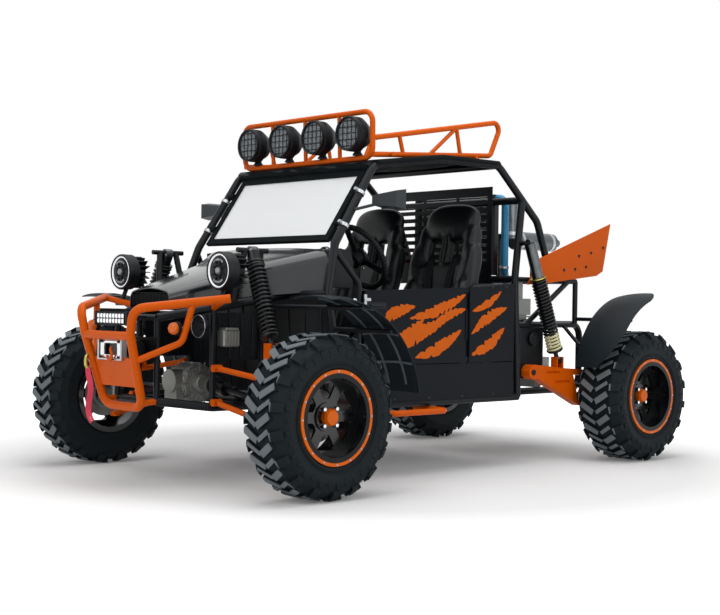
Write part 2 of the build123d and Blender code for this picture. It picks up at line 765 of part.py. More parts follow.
def arm_bracket():
    hoop_at = at_height(hoop_foot, hoop_waist, arm_pivot[1])
    back = hoop_at[0] - main_tube / 2 - weld_gap
    made = block((arm_pivot[0] - 30, arm_y[0] - 22, arm_pivot[1] - 32),
                 (back, arm_y[0] - 3, arm_pivot[1] + 32))
    made += rod_y(*arm_pivot, arm_y[0] - 22, arm_y[1] + 6, arm_pin)
    return tubing.fit(made)


rear_arms = both(lambda: [trailing_arm(), rear_spindle()])
lower_frame += both(arm_bracket)

# Steering: knuckles, rack with its rods, column and wheel
rack_x = fa(-100)
rack_z = 398.0
arm_low_z = 418.0
spindle = 40.0


def knuckle():
    foot = lower_ball_z + ball_high / 2 + pin_gap
    head = upper_ball_z - ball_high / 2 - pin_gap
    made = rod((fa(0), kingpin_y, foot), (fa(0), kingpin_y, head), 22)
    made += rod((fa(0), kingpin_y, foot + 16), (fa(0), kingpin_y, head - 8), 48)
    made += rod((fa(0), kingpin_y, tyre_radius), (fa(0), front_wheel_y + 15, tyre_radius), spindle)
    made += block((rack_x - 25, kingpin_y - 25, arm_low_z), (fa(0), kingpin_y + 8, arm_low_z + 12))
    return made.solid()


knuckle_left = knuckle()
knuckle_right = mirror(knuckle_left, about=Plane.XZ).solid()
rack_half = 265.0
housing_half = 150.0
rack_bar = 24.0
rod_end_y = kingpin_y - 10
rack = rod((rack_x, -rack_half, rack_z), (rack_x, rack_half, rack_z), rack_bar)
for side in sides:
    joint = (rack_x, side * rack_half, rack_z)
    eye = (rack_x, side * rod_end_y, rack_z)
    rack += rod(joint, eye, 18)
    rack += rod((rack_x, joint[1] - 18, rack_z), (rack_x, joint[1] + 18, rack_z), 30)
    rack += rod((rack_x, eye[1], rack_z - 12), (rack_x, eye[1], rack_z + 12), 28)
    rack += rod((rack_x, eye[1], rack_z), (rack_x, eye[1], arm_low_z - 1), 10)
steering_rack = [rack.solid()]
housing = rod((rack_x, -housing_half, rack_z), (rack_x, housing_half, rack_z), 56)
for side in sides:
    housing += block((fa(-front_post - 10), side * 105 - 15, floor_z + brace_tube / 2 + weld_gap),
                     (rack_x, side * 105 + 15, rack_z + 5))
housing -= rod_y(rack_x, rack_z, -housing_half - 1, housing_half + 1, rack_bar + 2 * pin_gap)
steering_gear = [housing.solid()]

wheel_centre = Vector(fa(-725), seat_y, 1030)
column_dir = Vector(0.87, 0, -0.5).normalized()
hand_wheel_radius = 160.0
hand_wheel_rim = 28.0
wheel_plane = Plane(wheel_centre, x_dir=(0, 1, 0), z_dir=column_dir)
dash_reach = (dash_back - wheel_centre.X) / column_dir.X
hand_wheel = Torus(hand_wheel_radius, hand_wheel_rim / 2)
hand_wheel += Pos(0, 0, 20) * Cylinder(38, 50)
for turn in (90, 210, 330):
    hand_wheel += Rot(0, 0, turn) * Pos(hand_wheel_radius / 2, 0, 5) * Box(hand_wheel_radius, 34, 8)
hand_wheel += Pos(0, 0, 20) * Cylinder(12, dash_reach - 70, align=on_end)
steering_wheel = [(wheel_plane * hand_wheel).solid()]
column_radius = 26.0
column_long = dash_reach - 30
column = Pos(0, 0, 60) * Cylinder(column_radius, column_long, align=on_end)
column -= Pos(0, 0, 50) * Cylinder(12 + pin_gap, dash_reach - 80, align=on_end)
dash_hole = Pos(0, 0, 50) * Cylinder(column_radius + weld_gap, column_long + 20, align=on_end)
dash_panel = [(dash_panel[0] - wheel_plane * dash_hole).solid()]
steering_gear.append((wheel_plane * column).solid())

# Engine, gearbox and what stands round them
gearbox = block((ra(-85), -gearbox_half, 372), (ra(165), gearbox_half, 520))
gearbox += block((ra(75), -310, floor_z + main_tube / 2 + weld_gap), (ra(135), 310, 392))
gearbox = [gearbox.solid()]
engine_low = 412.0
engine_top = 760.0
head_top = 960.0
cylinder_fins = 6
# Engine layers: back and front ahead of the rear axle, half width, foot and top
engine_layers = ((215, 540, 230, engine_low, 600), (240, 515, 205, 600, engine_top),
                 (222, 533, 218, engine_top, 850), (245, 495, 180, 850, head_top))
engine_solid = None
for back, front, half, low, high in engine_layers:
    layer = block((ra(back), -half, low), (ra(front), half, high))
    if high == head_top:
        layer = fillet(layer.edges().group_by(Axis.Z)[-1], 22)
    engine_solid = layer if engine_solid is None else engine_solid + layer
for n in range(cylinder_fins):
    z = 614 + n * (engine_top - 600) / cylinder_fins
    engine_solid += block((ra(226), -218, z), (ra(529), 218, z + 8))
for ahead, level, across_pulley in ((378, 520, 190), (300, 690, 90), (470, 660, 120)):
    engine_solid += rod((ra(ahead), 200, level), (ra(ahead), 258, level), across_pulley)
engine = [engine_solid.solid()]
mount_low = floor_z + main_tube / 2 + weld_gap
for x in (265, 480):
    for side in sides:
        low, high = sorted((side * 200, side * 310))
        foot = block((ra(x - 25), low, mount_low), (ra(x + 25), high, engine_low + 25))
        engine = [(engine[0] + foot).solid()]
diff_case = (fa(50), 440)
# Case outline: radius and distance across, ribs included
case_outline = ((0, 84), (40, 84), (46, 66), (76, 58), (88, 40))
differential = turned(case_outline + tuple((r, -y) for r, y in case_outline[::-1]), *diff_case)
differential += rod((fa(0), -shaft_inner_y, diff_z), (fa(0), shaft_inner_y, diff_z), 92)
differential += rod((fa(50), 0, 450), (fa(175), 0, 450), 104)
differential += block((fa(120), -45, floor_z + brace_tube / 2 + 2 * weld_gap), (fa(165), 45, 440))
for n in range(8):
    rib = Pos(0, 0, 70) * Box(9, 132, 44)
    differential += Pos(diff_case[0], 0, diff_case[1]) * Rot(0, 45 * n, 0) * rib
front_differential = [differential.solid()]
radiator_front = hoop_top[0] - main_tube / 2 - weld_gap
radiator_middle = 1182.0
radiator = block((radiator_front - 46, -240, 980), (radiator_front - 10, 240, 1385))
for side in sides:
    tank = block((radiator_front - 52, side * 265 - 25, 970), (radiator_front, side * 265 + 25, 1395))
    radiator += fillet(tank.edges().filter_by(Axis.Z), 12)
shroud = rod_x(0, radiator_middle, radiator_front - 80, radiator_front - 40, 340)
shroud -= rod_x(0, radiator_middle, radiator_front - 90, radiator_front - 46, 316)
radiator += shroud + rod_x(0, radiator_middle, radiator_front - 78, radiator_front - 40, 100)
for n in range(5):
    blade = Pos(-64, 0, 100) * Rot(0, 0, 25) * Box(4, 46, 120)
    radiator += Pos(radiator_front, 0, radiator_middle) * Rot(72 * n, 0, 0) * blade
radiator = [radiator.solid()]
grille_x = hoop_waist[0] + main_tube / 2 + weld_gap
grille_sheet = 4.0
grille_half = 360.0
grille_low = rear_top_z - 20
grille_top = 1425.0
grille = block((grille_x, -grille_half, grille_low), (grille_x + grille_sheet, grille_half, grille_top))
slot_high = 18.0
slot_pitch = 40.0
slot_columns = ((-330, -130), (-110, 110), (130, 330))
for row in range(9):
    z = grille_top - 50 - row * slot_pitch
    for low, high in slot_columns:
        grille -= block((grille_x - 1, low, z - slot_high), (grille_x + grille_sheet + 1, high, z))
firewall_grille = [grille.solid()]
for y in (-300, 300):
    firewall_grille.append(rod((hoop_top[0] + main_tube / 2 + weld_gap, y, hoop_top[2]),
                               (grille_x - weld_gap, y, hoop_top[2]), thin_tube).solid())
silencer_z = 1166.0
silencer_y = 200.0
# Silencer outline: radius and distance ahead of the rear axle, outlet first
silencer_outline = ((0, -25), (22, -25), (22, 12), (44, 20), (50, 28), (50, 352), (44, 360), (0, 360))
silencer = [turned_ahead(silencer_outline, ra(0), silencer_y, silencer_z).solid(),
            rod((ra(rear_post), silencer_y, rear_top_z + brace_tube / 2 + weld_gap),
                (ra(rear_post), silencer_y, silencer_z - 50 - weld_gap), thin_tube).solid()]
air_can = [(rod((ra(420), 225, 1172), (ra(420), 225, 1390), 90)
            + block((ra(400), 135, 1172), (ra(440), 230, 1200))
            + rod((ra(420), 160, head_top + weld_gap), (ra(420), 160, 1180), 40)).solid()]
hose = 40.0
hoses = Tubing()
coolant_hoses = hoses.lay([(ra(600), 290 + weld_gap, 1375), (ra(600), 345, 1375), (ra(600), 345, 1000),
                           (ra(440), 230, 880), (ra(440), 180 + weld_gap, 880)], hose, 45)

# Cabin: seats, tank, mirrors, plates
seat_half = 235.0
seat_rail = 24.0
cushion_low = floor_low + floor_sheet + weld_gap + seat_rail
seat_back_outline = ((0, 205), (250, 232), (480, 238), (600, 190), (680, 150), (800, 140), (850, 95))
seat_foot = (fa(-1250), 0, cushion_low + 95)
recline = 14.0


def seat():
    cushion = block((seat_foot[0] + 10, seat_y - seat_half, cushion_low),
                    (fa(-800), seat_y + seat_half, cushion_low + 130))
    outline = [(w, h) for h, w in seat_back_outline] + [(-w, h) for h, w in seat_back_outline[::-1]]
    tilt = radians(recline)
    back_plane = Plane((seat_foot[0], seat_y, seat_foot[2]), x_dir=(0, 1, 0), z_dir=(cos(tilt), 0, sin(tilt)))
    back = extrude(back_plane * make_face(Polyline(*outline, close=True)), amount=85)
    made = [cushion + back]
    for side in sides:
        made.append(block((seat_foot[0] + 20, seat_y + side * 170 - 15, cushion_low - seat_rail),
                          (fa(-830), seat_y + side * 170 + 15, cushion_low - weld_gap)))
    return [m.solid() for m in made]


seat_left = seat()
seat_right = [mirror(s, about=Plane.XZ).solid() for s in seat_left]
tank_top = rear_low_z - brace_tube / 2 - weld_gap
tank = block((ra(465), 330, 480), (ra(688), 516, tank_top))
fuel_tank = [fillet(tank.edges().filter_by(Axis.Y) + tank.edges().filter_by(Axis.Z), 26).solid()]
mirror_y = 640.0
pillar_at = between(scuttle_corner, header_corner, 0.42)


def side_mirror():
    """A shell narrower at its inner end, on a thin arm from the pillar."""
    shell = make_face(Polyline((fa(-580), mirror_y - 85, 1248), (fa(-580), mirror_y + 85, 1232),
                               (fa(-580), mirror_y + 85, 1322), (fa(-580), mirror_y - 85, 1306), close=True))
    shell = extrude(shell, amount=55, dir=(1, 0, 0), taper=8)
    arm = rod((pillar_at[0], pillar_at[1] + main_tube / 2 + weld_gap, pillar_at[2]),
              (fa(-550), mirror_y - 60, 1262), 14)
    return tubing.fit(shell + arm)


mirrors = both(side_mirror)
plate_y = rear_y + main_tube / 2 + weld_gap
wing_outline = [(627, 919), (536, 1056), (-82, 1268), (-17, 1005), (40, 979), (444, 933)]
wing_plates = both(lambda: sheet_xz([(ra(x), z) for x, z in wing_outline], plate_y, skin).solid())

# Nose fittings: plate, winch, hook strap, tow eye
upright_run = Vector(*bumper_low) - Vector(*bumper_mid)
plate_mid = Vector(*between(bumper_mid, bumper_low, 0.52))
plate_plane = Plane((plate_mid.X, 0, plate_mid.Z), x_dir=(0, 1, 0),
                    z_dir=Vector(0, 1, 0).cross(Vector(upright_run.X, 0, upright_run.Z)))
front_bumper.append(tubing.fit(plate_plane * Box(270, 130, 5)))
winch_back = fa(345) + brace_tube / 2 + weld_gap
winch = block((winch_back, -165, 545), (winch_back + 6, 165, 650))
winch += rod_y(fa(415), 597, -110, 110, 80) + block((winch_back, -60, 557), (fa(415), 60, 637))
winch += block((fa(456), -85, 557), (fa(462), 85, 637)) + block((fa(415), -20, 587), (fa(460), 20, 607))
winch = [winch.solid()]
hook_at = between(bumper_mid, bumper_low, 0.4)
hook_x, hook_y = hook_at[0], -hook_at[1]
hook_low = hook_at[2] - 22
hook_high = hook_at[2] + 22
strap_low = 272.0
strap_half = 12.5
hook = block((hook_x, hook_y - 9, hook_low), (hook_x + 36, hook_y + 9, hook_high))
strap = block((hook_x + 28, hook_y - strap_half, strap_low),
              (hook_x + 31, hook_y + strap_half, hook_low - weld_gap))
hook_strap = [tubing.fit(hook), strap.solid()]
tow_x = tow_bar[0] - brace_tube / 2 - weld_gap
tow_eye_radius = 13.0
tow_plate = 16.0
tow_width = 64.0
tow_reach = 45.0
tow_low = tow_bar[2] - tow_plate / 2
tow_high = tow_bar[2] + tow_plate / 2
tow_end = tow_x - tow_reach
tow = block((tow_end, -tow_width / 2, tow_low), (tow_x, tow_width / 2, tow_high))
tow += rod((tow_end, 0, tow_low), (tow_end, 0, tow_high), tow_width)
tow -= rod((tow_end, 0, tow_low - tow_plate), (tow_end, 0, tow_high + tow_plate), 2 * tow_eye_radius)
tow_eye = [tow.solid()]

# Wheels: tyre, rim and coloured trim, each about its own axle
hub_radius = 60.0
disc = (25.0, 37.0)
cap_radius = 36.0
ring_radius = 196.5
flange = 8.0
hub_face = 45.0
windows = 6
# Window corners: radius and half angle
window_corners = ((76, 13), (148, 21))
tread_pitches = 18
tread_depth = 17.0
# Tread block: share of a pitch, share of half the width, turn, length across, width along
tread_blocks = ((0.0, 0.34, 32, 84, 30), (0.5, 0.86, 8, 46, 36))


def rim_window(axle_x, wheel_y, turn):
    """A window between two spokes, wider outwards."""
    corners = [(r, turn - half) for r, half in window_corners]
    corners += [(r, turn + half) for r, half in window_corners[::-1]]
    spots = [(axle_x + r * cos(radians(a)), wheel_y, tyre_radius + r * sin(radians(a))) for r, a in corners]
    hole = extrude(make_face(Polyline(*spots, close=True)), amount=60, dir=(0, 1, 0))
    return fillet(hole.edges().filter_by(Axis.Y), 9)


def tyre(axle_x, wheel_y, width, edge):
    """A carcass with tread blocks, each trimmed to the tyre's outer shape."""
    half = width / 2

    def body(shoulder, shoulder_in, crown, crown_in):
        side_line = ((191, edge), (204, half - 10), (262, half),
                     (shoulder, half - shoulder_in), (crown, half - crown_in))
        return turned([(rim_radius, wheel_y - edge), (rim_radius, wheel_y + edge)]
                      + [(r, wheel_y + o) for r, o in side_line]
                      + [(r, wheel_y - o) for r, o in side_line[::-1]], axle_x, tyre_radius)

    outer = body(312, 6, tyre_radius, 40)
    carcass = body(298, 9, tyre_radius - tread_depth, 46)
    axle = Pos(axle_x, wheel_y, tyre_radius)
    pitch = 360 / tread_pitches
    lugs = []
    for share, out, turn, long, wide in tread_blocks:
        for side in sides:
            bar = Rot(0, 0, side * turn) * Box(wide, long, 60)
            bar = Pos(0, side * out * half, tyre_radius - tread_depth) * bar
            lug = (outer & axle * Rot(0, pitch * (share + side / 4 + 0.25), 0) * bar).solid()
            lugs += [axle * Rot(0, pitch * n, 0) * axle.inverse() * lug for n in range(tread_pitches)]
    return carcass.fuse(*lugs).solid()


def wheel(axle_x, wheel_y, width):
    half = width / 2 - 16
    edge = half - flange - 0.5
    barrel = rim_radius - 0.5
    lip = 190.0
    rim_outline = ((barrel - 14, -half), (lip, -half), (lip, flange - half), (barrel, flange - half),
                   (barrel, half - flange), (lip, half - flange), (lip, half), (barrel - 14, half))
    rim = turned([(r, wheel_y + o) for r, o in rim_outline], axle_x, tyre_radius)
    centre = rod_y(axle_x, tyre_radius, wheel_y + disc[0], wheel_y + disc[1], 2 * (barrel - 13))
    centre += rod_y(axle_x, tyre_radius, wheel_y - 25, wheel_y + hub_face, 2 * hub_radius)
    for spoke in range(windows):
        centre -= rim_window(axle_x, wheel_y, 360 * (spoke + 0.5) / windows)
    centre -= rod_y(axle_x, tyre_radius, wheel_y - 30, wheel_y + 15 + pin_gap, spindle + 2 * pin_gap)
    ring_low, ring_high = half + weld_gap, half + 8
    ring_outline = ((rim_radius - 16, ring_low), (ring_radius, ring_low),
                    (ring_radius, ring_high), (rim_radius - 16, ring_high))
    ring = turned([(r, wheel_y + o) for r, o in ring_outline], axle_x, tyre_radius)
    cap_foot = hub_face + weld_gap
    cap_outline = ((0, cap_foot), (cap_radius, cap_foot), (cap_radius, 66), (30, 78), (0, 80))
    cap = turned([(r, wheel_y + o) for r, o in cap_outline], axle_x, tyre_radius)
    return [tyre(axle_x, wheel_y, width, edge)], [(rim + centre).solid()], [ring.solid(), cap.solid()]


wheels = {}
for place, axle_x, wheel_y, width in (("front", front_axle, front_wheel_y, front_tyre_width),
                                      ("rear", rear_axle, rear_wheel_y, rear_tyre_width)):
    made = wheel(axle_x, wheel_y, width)
    for piece, solids in zip(("tyre", "rim", "trim"), made):
        wheels[f"{piece}_{place}_left"] = solids
        wheels[f"{piece}_{place}_right"] = [mirror(s, about=Plane.XZ).solid() for s in solids]

nodes = {
    "lower_frame": lower_frame, "roll_cage": roll_cage, "front_bumper": front_bumper,
    "roof_rack": roof_rack, "side_steps": side_steps, "front_fenders": front_fenders,
    "rear_fenders": rear_fenders, "floor_pan": floor_pan, "side_panels": side_panels,
    "door_left": [door_left], "door_right": [door_right], "nose_cowl": nose_cowl,
    "dash_panel": dash_panel, "windscreen_frame": windscreen_frame, "windscreen": windscreen,
    "roof_canopy": roof_canopy, "roof_lamps": roof_lamps, "headlights": headlights,
    "light_bar": light_bar, "turn_signals": turn_signals, "front_arms": front_arms,
    "dampers": dampers, "springs": springs, "halfshafts": halfshafts, "rear_arms": rear_arms,
    "knuckle_left": [knuckle_left], "knuckle_right": [knuckle_right],
    "steering_rack": steering_rack, "steering_gear": steering_gear,
    "steering_wheel": steering_wheel, "gearbox": gearbox, "engine": engine,
    "front_differential": front_differential, "radiator": radiator,
    "firewall_grille": firewall_grille, "silencer": silencer, "air_can": air_can,
    "coolant_hoses": coolant_hoses, "seat_left": seat_left, "seat_right": seat_right,
    "fuel_tank": fuel_tank, "mirrors": mirrors, "wing_plates": wing_plates, "winch": winch,
    "hook_strap": hook_strap, "tow_eye": tow_eye,
} | wheels
for node, solids in nodes.items():
    write(node, solids)
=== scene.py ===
"""Looks for the dune buggy: finishes for every CAD node, soft goods, lamps and fittings."""
import math

import bmesh
import bpy
from mathutils import Matrix, Vector
from mathutils.bvhtree import BVHTree


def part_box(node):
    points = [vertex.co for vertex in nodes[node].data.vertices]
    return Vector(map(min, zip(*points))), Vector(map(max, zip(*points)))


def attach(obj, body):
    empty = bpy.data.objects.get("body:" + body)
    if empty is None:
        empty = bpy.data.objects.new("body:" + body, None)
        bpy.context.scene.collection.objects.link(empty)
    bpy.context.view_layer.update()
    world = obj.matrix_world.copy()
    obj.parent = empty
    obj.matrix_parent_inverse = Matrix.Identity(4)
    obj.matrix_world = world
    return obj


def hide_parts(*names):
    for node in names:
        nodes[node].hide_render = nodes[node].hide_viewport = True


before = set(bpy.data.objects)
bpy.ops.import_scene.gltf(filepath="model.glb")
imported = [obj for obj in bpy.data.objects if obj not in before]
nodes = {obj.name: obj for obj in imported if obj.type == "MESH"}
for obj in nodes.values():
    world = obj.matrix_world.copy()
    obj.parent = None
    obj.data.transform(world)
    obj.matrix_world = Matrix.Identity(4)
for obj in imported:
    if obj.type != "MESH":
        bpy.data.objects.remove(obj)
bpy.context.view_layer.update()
MM = 0.001

# Camera as solved from the photograph, in metres and degrees
CAMERA_PLACE = Vector((4.7035, 4.8714, 0.8073))
CAMERA_YAW = -133.583
CAMERA_PITCH = -0.158
CAMERA_ROLL = 0.891
CAMERA_LENS_MM = 66.315
SENSOR_MM = 36.0
# Handled patches about 120 mm across show as an uneven sheen
SMUDGE_SCALE = 1 / 0.120

# Places shared with the CAD, in metres
FRONT_X = 1.0635
REAR_X = -1.2465
TYRE_RADIUS = 0.343
RING_EDGE = 0.1825
PANEL_FACE = 0.580
SIDES = (("left", 1), ("right", -1))
CORNERS = ((-1, -1), (1, -1), (1, 1), (-1, 1))


def fa(ahead_mm):
    """X of a place so far ahead of the front axle."""
    return FRONT_X + ahead_mm * MM


def ra(ahead_mm):
    """X of a place so far ahead of the rear axle."""
    return REAR_X + ahead_mm * MM


def linear(hex_colour):
    """An sRGB hex value as the linear colour a shader takes."""
    parts = [int(hex_colour[i:i + 2], 16) / 255 for i in (1, 3, 5)]
    return [p / 12.92 if p <= 0.04045 else ((p + 0.055) / 1.055) ** 2.4 for p in parts] + [1.0]


def add(tree, kind, settings=(), links=()):
    """One shader node with its settings and what feeds it."""
    made = tree.nodes.new("ShaderNode" + kind)
    for name, value in dict(settings).items():
        if isinstance(name, str) and hasattr(made, name):
            setattr(made, name, value)
        else:
            made.inputs[name].default_value = value
    for socket, source in dict(links).items():
        tree.links.new(source, made.inputs[socket])
    return made


def new_finish(name, colour, **sockets):
    """A material with its principled shader set; returns both and the tree."""
    material = bpy.data.materials.new(name)
    material.use_nodes = True
    tree = material.node_tree
    shader = tree.nodes["Principled BSDF"]
    shader.inputs["Base Color"].default_value = linear(colour)
    for socket, value in sockets.items():
        shader.inputs[socket.replace("_", " ")].default_value = value
    return material, tree, shader


def mottle(tree, shader, colours, size_mm, bump_mm, rough):
    """Colour, roughness and relief that follow one noise of a real grain size."""
    place = add(tree, "TexCoord").outputs["Object"]
    noise = add(tree, "TexNoise", {"Scale": 1 / (size_mm * MM), "Detail": 4.0}, {"Vector": place})
    grain = noise.outputs["Fac"]
    mixed = add(tree, "Mix", {"data_type": "RGBA", 6: linear(colours[0]), 7: linear(colours[1])}, {0: grain})
    tree.links.new(mixed.outputs[2], shader.inputs["Base Color"])
    smudge = add(tree, "TexNoise", {"Scale": SMUDGE_SCALE, "Detail": 3.0}, {"Vector": place})
    uneven = add(tree, "Math", {"operation": "ADD"}, {0: grain, 1: smudge.outputs["Fac"]})
    spread = add(tree, "MapRange", {"From Min": 0.6, "From Max": 1.4, "To Min": rough[0], "To Max": rough[1]},
                 {"Value": uneven.outputs[0]})
    tree.links.new(spread.outputs["Result"], shader.inputs["Roughness"])
    if bump_mm:
        relief = add(tree, "Bump", {"Strength": 1.0, "Distance": bump_mm * MM}, {"Height": grain})
        tree.links.new(relief.outputs["Normal"], shader.inputs["Normal"])


def weave(tree, shader, pitch_mm, depth_mm):
    """Threads over and under each other, as relief."""
    place = add(tree, "TexCoord")
    threads = [add(tree, "TexWave", {"bands_direction": way, "Scale": 0.314 / (pitch_mm * MM)},
                   {"Vector": place.outputs["Object"]}).outputs["Fac"] for way in ("X", "Y")]
    crossed = add(tree, "Math", {"operation": "MAXIMUM"}, {0: threads[0], 1: threads[1]})
    relief = add(tree, "Bump", {"Distance": depth_mm * MM}, {"Height": crossed.outputs[0]})
    tree.links.new(relief.outputs["Normal"], shader.inputs["Normal"])


# Finish: material name, two colours, grain mm, relief mm, roughness from and to, specular level, metal
FINISH_TABLE = {
    # warm orange with faint orange peel
    "orange": ("powder_coat_sprayed_orange", "#D65700", "#E26104", 4.0, 0.05, 0.3, 0.4, 0.12, 0),
    # near-black tube with soft long highlights
    "black_tube": ("powder_coat_sprayed_black", "#0A0F14", "#10161B", 3.0, 0.05, 0.3, 0.42, 0.2, 0),
    # blue-black sheet with a clear gloss
    "body": ("acrylic_enamel_sprayed_blue_black", "#050B11", "#091017", 60.0, 0.0, 0.3, 0.38, 0.1, 0),
    # graphite gloss that mirrors the white room
    "bonnet": ("acrylic_enamel_sprayed_graphite", "#0E1318", "#141A1F", 80.0, 0.0, 0.2, 0.26, 0.5, 0),
    # matt black with a fine moulded grain
    "fender": ("polypropylene_moulded_black", "#131B20", "#1A2328", 1.6, 0.12, 0.5, 0.62, 0.16, 0),
    # smoother black mouldings
    "plastic": ("abs_moulded_black", "#0B1014", "#10161A", 2.0, 0.05, 0.4, 0.5, 0.2, 0),
    # dark grey shells of the mirrors, and the lines on the fenders, whose grey there is a painted highlight
    "grey_plastic": ("abs_moulded_grey", "#2C3236", "#363C40", 2.0, 0.05, 0.4, 0.52, 0.25, 0),
    # moulded ribs paler than the sheet about them, the paleness a painted highlight
    "rib_painted_highlight": ("polypropylene_moulded_painted_highlight", "#545E64", "#69737A", 2.0, 0.08, 0.45, 0.6, 0.2, 0),
    # lamp bodies with a dry cast skin
    "lamp_body": ("aluminium_die_cast_black", "#0A0E12", "#10151A", 1.5, 0.08, 0.42, 0.55, 0.2, 0),
    # bright ring that mirrors everything
    "chrome": ("steel_chrome_plated", "#D4D6D8", "#E0E2E3", 30.0, 0.0, 0.08, 0.16, 0.5, 1),
    # dull bright bolts
    "zinc": ("steel_zinc_plated", "#A4A8AC", "#BCC0C3", 6.0, 0.02, 0.28, 0.4, 0.5, 1),
    # thin bright fins with a soft sheen
    "aluminium": ("aluminium_turned", "#B9BCBE", "#CDCFD0", 8.0, 0.02, 0.25, 0.36, 0.5, 1),
    # grey castings with a sandy skin
    "cast": ("aluminium_sand_cast", "#7C7E7A", "#999B97", 3.0, 0.3, 0.42, 0.58, 0.5, 0.7),
    # dark mirror of the can, silencer and damper bodies
    "stainless": ("stainless_steel_polished", "#4A4D4F", "#72767A", 50.0, 0.0, 0.22, 0.34, 0.5, 1),
    # springs and dark steel with a thin gloss
    "black_steel": ("spring_steel_enamelled_black", "#080B0E", "#0D1114", 5.0, 0.02, 0.25, 0.35, 0.3, 0),
    # pale lowest coils
    "cream_steel": ("spring_steel_enamelled_cream", "#DDD9A4", "#E8E4B4", 5.0, 0.02, 0.3, 0.4, 0.5, 0),
    # dull yellow hook and lock rings
    "yellow_zinc": ("steel_yellow_passivated", "#A89848", "#BCAE62", 6.0, 0.03, 0.3, 0.42, 0.5, 1),
    # soft blue hose
    "hose": ("silicone_rubber_moulded_blue", "#2784B4", "#3797C6", 10.0, 0.05, 0.4, 0.5, 0.5, 0),
    # black seat covers with a leather grain
    "vinyl": ("vinyl_embossed_black", "#080D11", "#0D1317", 2.2, 0.12, 0.34, 0.46, 0.28, 0),
    # matt rubber boots, grips and seals
    "rubber": ("rubber_moulded_black", "#0B1013", "#101518", 3.0, 0.05, 0.6, 0.72, 0.16, 0),
    # deep gloss rim
    "rim": ("aluminium_enamelled_black", "#06080B", "#0A0D11", 20.0, 0.0, 0.18, 0.28, 0.4, 0),
    # cut film on the doors
    "slash": ("vinyl_film_cut_orange", "#D45E0A", "#DE680E", 30.0, 0.0, 0.34, 0.42, 0.12, 0),
    # white marks of the strap's sewn end
    "white_film": ("vinyl_film_cut_white", "#E2E4E5", "#EDEEEF", 30.0, 0.0, 0.35, 0.45, 0.5, 0),
    # lens moulding behind the stone guards, its light and dark patches a painted reflection of glints in
    # clear facets
    "optic": ("polycarbonate_moulded_painted_glints", "#1C2124", "#C9D0D4", 15.0, 0.0, 0.08, 0.2, 0.5, 0.15),
    # cloth of the roof and the screen's frame
    "cloth": ("canvas_woven_black", "#060B0E", "#0B1114", 9.0, 0.0, 0.75, 0.9, 0.1, 0),
    # harness belts
    "belt": ("polyester_webbing_woven_black", "#080B0E", "#0D1114", 6.0, 0.0, 0.55, 0.7, 0.15, 0),
    # limp red hook strap
    "strap": ("nylon_webbing_woven_red", "#DA3350", "#EA4A64", 7.0, 0.0, 0.6, 0.75, 0.5, 0),
}
# Thread pitch and depth of the woven ones, mm
WEAVES = {"cloth": (1.4, 0.25), "belt": (1.8, 0.3), "strap": (1.8, 0.3)}
# Clear lacquer over the glossy ones
COATS = {"bonnet": 0.45, "rim": 0.2}
# Clear finish: material name, colour, how clear, roughness from and to, glow
CLEAR_TABLE = {
    # The film's near-white colour and glow are a painted reflection of the white room
    "film": ("pvc_film_clear_painted_reflection", "#F4F6F7", 0.35, (0.06, 0.14), 0.05),
    "amber": ("polycarbonate_moulded_amber", "#F27C10", 0.4, (0.05, 0.12), 0.06),
    "led": ("polycarbonate_moulded_white", "#F4F6F8", 0.2, (0.1, 0.2), 0.6),
}
TRIM_ORANGE = ("#E06206", "#EC6E0C")


def plain_finishes():
    made = {}
    for key, (name, first, second, grain, relief, smooth, rough, level, metal) in FINISH_TABLE.items():
        made[key], tree, shader = new_finish(name, first, Specular_IOR_Level=level, Metallic=metal,
                                             Coat_Weight=COATS.get(key, 0.0))
        mottle(tree, shader, (first, second), grain, relief, (smooth, rough))
        if key in WEAVES:
            weave(tree, shader, *WEAVES[key])
    return made


def clear_finishes():
    """Lenses and the windscreen film, each with a faint ripple in its roughness."""
    made = {}
    for key, (name, colour, clear, rough, glow) in CLEAR_TABLE.items():
        made[key], tree, shader = new_finish(name, colour, Transmission_Weight=clear, Emission_Strength=glow,
                                             Emission_Color=linear(colour))
        mottle(tree, shader, (colour, colour), 40.0, 0.0, rough)
    return made


def from_axle(tree, axle_x):
    """Distance from a wheel's axle."""
    place = add(tree, "TexCoord")
    offset = add(tree, "VectorMath", {"operation": "SUBTRACT", 1: (axle_x, 0, TYRE_RADIUS)},
                 {0: place.outputs["Object"]})
    flat = add(tree, "VectorMath", {"operation": "MULTIPLY", 1: (1, 0, 1)}, {0: offset.outputs[0]})
    return add(tree, "VectorMath", {"operation": "LENGTH"}, {0: flat.outputs[0]}).outputs["Value"]


def tyre_rubber(end, axle_x):
    """Black rubber whose block tops, at the full radius, are worn grey."""
    material, tree, shader = new_finish("rubber_moulded_tread_" + end, "#15191B", Specular_IOR_Level=0.16)
    mottle(tree, shader, ("#0F161A", "#182024"), 6.0, 0.15, (0.6, 0.75))
    span = {"From Min": TYRE_RADIUS - 0.006, "From Max": TYRE_RADIUS - 0.002, "To Max": 0.8}
    worn = add(tree, "MapRange", span, {"Value": from_axle(tree, axle_x)}).outputs["Result"]
    base = shader.inputs["Base Color"].links[0].from_socket
    topped = add(tree, "Mix", {"data_type": "RGBA", 7: linear("#7C8488")}, {0: worn, 6: base})
    tree.links.new(topped.outputs[2], shader.inputs["Base Color"])
    return material


